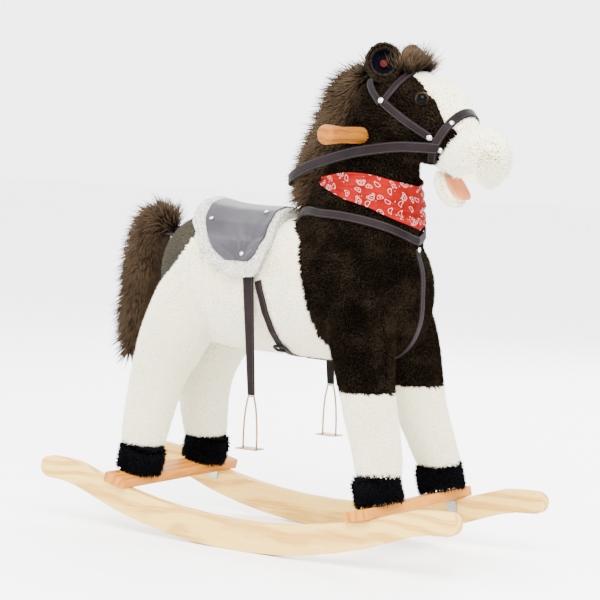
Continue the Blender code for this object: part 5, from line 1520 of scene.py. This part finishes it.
def plasticMaterial(name, base, rough):
    shade = Shade(name, {"IOR": 1.48, "Specular IOR Level": 0.04})
    cloud = shade.noise(shade.place(), 90.0, 3.0, 0.5)
    color = shade.mix(shade.span(cloud, 0.3, 0.8), base, tuple(0.8 * c for c in base))
    return shade.finish(Base_Color=color, Roughness=rough + cloud * 0.12, Normal=shade.bump(cloud, 0.0002, 0.2))


blackPlastic = plasticMaterial("blackPlastic", (0.0040, 0.0040, 0.0045), 0.36)
greyPlastic = plasticMaterial("greyPlastic", (0.030, 0.030, 0.032), 0.42)
redPlastic = plasticMaterial("redPlastic", (0.030, 0.0008, 0.0008), 0.50)
makeBuckle()

# neckerchief

kerchief = {
    "rows": [(0.0, 0.5030, 0.062), (30.0, 0.5140, 0.055), (60.0, 0.5270, 0.046), (90.0, 0.5330, 0.036),
             (118.0, 0.5370, 0.018),
             (134.0, 0.5390, 0.007)],
    "axis": 0.1300, "lift": 0.0020, "thickness": 0.0011, "across": 34,
}


def kerchiefMaterial():
    shade = Shade("kerchief", {"Roughness": 0.85, "Specular IOR Level": 0.05})
    flat = shade.attribute("flat", "Vector")
    where = shade.place()
    cells = shade.add("ShaderNodeTexVoronoi", {"voronoi_dimensions": "2D", "feature": "F1"},
                      {"Vector": flat, "Scale": 62.0, "Randomness": 0.65})
    spot = Value(shade, cells.socket.node.outputs["Distance"])
    place = Value(shade, cells.socket.node.outputs["Position"])
    seed = Value(shade, cells.socket.node.outputs["Color"])
    apart = shade.vector("SUBTRACT", shade.scaled(flat, 62.0), shade.scaled(place, 62.0))
    split = shade.add("ShaderNodeSeparateXYZ", None, {"Vector": apart})
    parted = split.socket.node.outputs
    dx, dy = Value(shade, parted["X"]), Value(shade, parted["Y"])
    picked = shade.add("ShaderNodeSeparateXYZ", None, {"Vector": seed})
    pick = Value(shade, picked.socket.node.outputs["X"])
    # leaf shaped cells: a bent oval with an outline and a filled heart
    angle = pick * 6.28
    cosine, sine = shade.math("COSINE", angle), shade.math("SINE", angle)
    u = dx * cosine + dy * sine
    v = dy * cosine - dx * sine + u * u * 1.1
    leaf = shade.math("SQRT", u * u * 8.5 + v * v * 26.0)
    outline = 1.0 - shade.span(abs(leaf - 0.80), 0.04, 0.10)
    heart = (1.0 - shade.span(leaf, 0.14, 0.22)) * shade.span(pick, 0.40, 0.41)
    petals = shade.math("SINE", shade.math("ARCTAN2", v * 1.7, u) * 7.0)
    ruffle = (1.0 - shade.span(abs(leaf - 1.16 - petals * 0.08), 0.02, 0.07)) * shade.span(pick, 0.70, 0.71)
    dots = shade.add("ShaderNodeTexVoronoi", {"voronoi_dimensions": "2D", "feature": "F1"},
                     {"Vector": flat, "Scale": 210.0, "Randomness": 0.4})
    dot = (1.0 - shade.span(Value(shade, dots.socket.node.outputs["Distance"]), 0.16, 0.24)) * shade.span(leaf, 1.5,
                                                                                                          1.6)
    few = shade.span(shade.noise(flat, 70.0, 1.0, 0.4), 0.64, 0.68)
    mark = shade.math("MINIMUM", outline + heart + ruffle + dot * few, 1.0)
    weave = shade.noise(where, 1400.0, 2.0, 0.6)
    worn = shade.noise(where, 30.0, 3.0, 0.6)
    red = shade.mix(shade.span(worn, 0.3, 0.75), (0.110, 0.0011, 0.0008), (0.175, 0.0025, 0.0018))
    color = shade.mix(mark * 0.85, red, (0.52, 0.33, 0.32))
    return shade.finish(Base_Color=color, Normal=shade.bump(weave, 0.0003, 0.3))


def makeKerchief():
    half = smoothRows(kerchief["rows"], 16)
    rows = [(-a, z, w) for a, z, w in half[::-1]] + [tuple(row) for row in half[1:]]
    n = kerchief["across"]
    grid = []
    for degrees, middle, wide in rows:
        a = math.radians(degrees)
        out = Vector((math.cos(a), math.sin(a), 0))
        line = []
        for k in range(n):
            z = middle + wide * (0.5 - k / (n - 1))
            spot = dropOnto(bodySurface, Vector((kerchief["axis"], 0, z)) + out * 0.3, -out)
            line.append(list(spot) + [0, 0, 0])
            line[-1][3:] = list(out)
        grid.append(line)
    grid = np.array(grid)
    spots, outs = grid[:, :, :3], grid[:, :, 3:]
    for _ in range(6):
        spots[1:-1, 1:-1] = 0.5 * spots[1:-1,
                                        1:-1] + 0.125 * (spots[:-2, 1:-1] + spots[2:, 1:-1] + spots[1:-1,
                                                                                                    :-2] + spots[1:-1,
                                                                                                                 2:])
    steps = np.linalg.norm(np.diff(spots[:, n // 2], axis=0), axis=1)
    along = np.concatenate([[0], np.cumsum(steps)])
    down = np.concatenate([np.zeros((len(rows), 1)),
                           np.cumsum(np.linalg.norm(np.diff(spots, axis=1), axis=2), axis=1)], axis=1)
    share = np.linspace(0, 1, n)[None, :]
    degrees = np.array([row[0] for row in rows])[:, None]
    # soft folds that run round the neck and gather to the knot
    tight = np.clip(np.abs(degrees) / 134, 0, 1) ** 2
    wave = share * (15 + 9 * np.cos(np.radians(degrees) * 1.3)) + degrees * 0.045
    folds = 0.0022 * np.sin(wave) + 0.0013 * np.sin(share * 31 + degrees * 0.085 + 1.0)
    tuck = np.sin(math.pi * share) ** 0.5
    hems = 0.0012 * np.exp(-share**2 / 0.004), 0.0016 * np.exp(-(share - 1.0) ** 2 / 0.006)
    lift = kerchief["lift"] + 0.0028 + folds * (0.45 + 0.55 * tuck) * (1 - 0.5 * tight) + hems[0] + hems[1]
    outer = spots + outs * (lift + kerchief["thickness"] / 2)[:, :, None]
    inner = spots + outs * (lift - kerchief["thickness"] / 2)[:, :, None]
    rings = [list(map(Vector, o)) + list(map(Vector, i[::-1])) for o, i in zip(outer, inner)]
    piece = loft("neckerchief", rings)
    flat = np.zeros((len(piece.data.vertices), 3))
    count = len(rows) * 2 * n
    for r in range(len(rows)):
        flat[r * 2 * n:r * 2 * n + n, 0] = along[r]
        flat[r * 2 * n:r * 2 * n + n, 1] = down[r] - down[r].mean()
        flat[r * 2 * n + n:(r + 1) * 2 * n, 0] = along[r]
        flat[r * 2 * n + n:(r + 1) * 2 * n, 1] = (down[r] - down[r].mean())[::-1]
    area = float(sum(np.linalg.norm(np.cross(spots[i + 1, j] - spots[i, j], spots[i, j + 1] - spots[i, j]))
                     for i in range(len(rows) - 1) for j in range(n - 1)))
    print("kerchief", round(area, 5), round(float(along[-1]), 4), round(float(down[:, -1].max()), 4),
          len(piece.data.vertices), count)
    store(piece.data, "flat", flat)
    piece.data.materials.append(kerchiefMaterial())
    piece.data.shade_smooth()
    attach(piece, "horse")
    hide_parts("neckerchief")
    return piece


makeKerchief()
print("kerchief done")

# wood, metal and plastic keep their own meshes

fixed = {
    "rocker_left": pine, "rocker_right": pine, "front_plank": darkPine, "rear_plank": darkPine,
    "handle_bar": handleWood,
    "body_board": frameWood, "neck_post": frameWood, "leg_post_front_left": frameWood,
    "leg_post_front_right": frameWood,
    "leg_post_rear_left": frameWood, "leg_post_rear_right": frameWood, "bracket_front_left": zincSteel,
    "bracket_front_right": zincSteel,
    "bracket_rear_left": zincSteel, "bracket_rear_right": zincSteel, "plank_screw_front_left": darkSteel,
    "plank_screw_front_right": darkSteel,
    "plank_screw_rear_left": darkSteel, "plank_screw_rear_right": darkSteel, "jaw_pin": zincSteel,
    "tail_pin": darkSteel,
    "sound_box": greyPlastic, "ear_button": redPlastic, "stirrup_left": brass, "stirrup_right": brass,
}
for name, material in fixed.items():
    node = bpy.data.objects[name]
    for place in node.material_slots:
        place.link = "OBJECT"
        place.material = material
print("fixed parts finished")
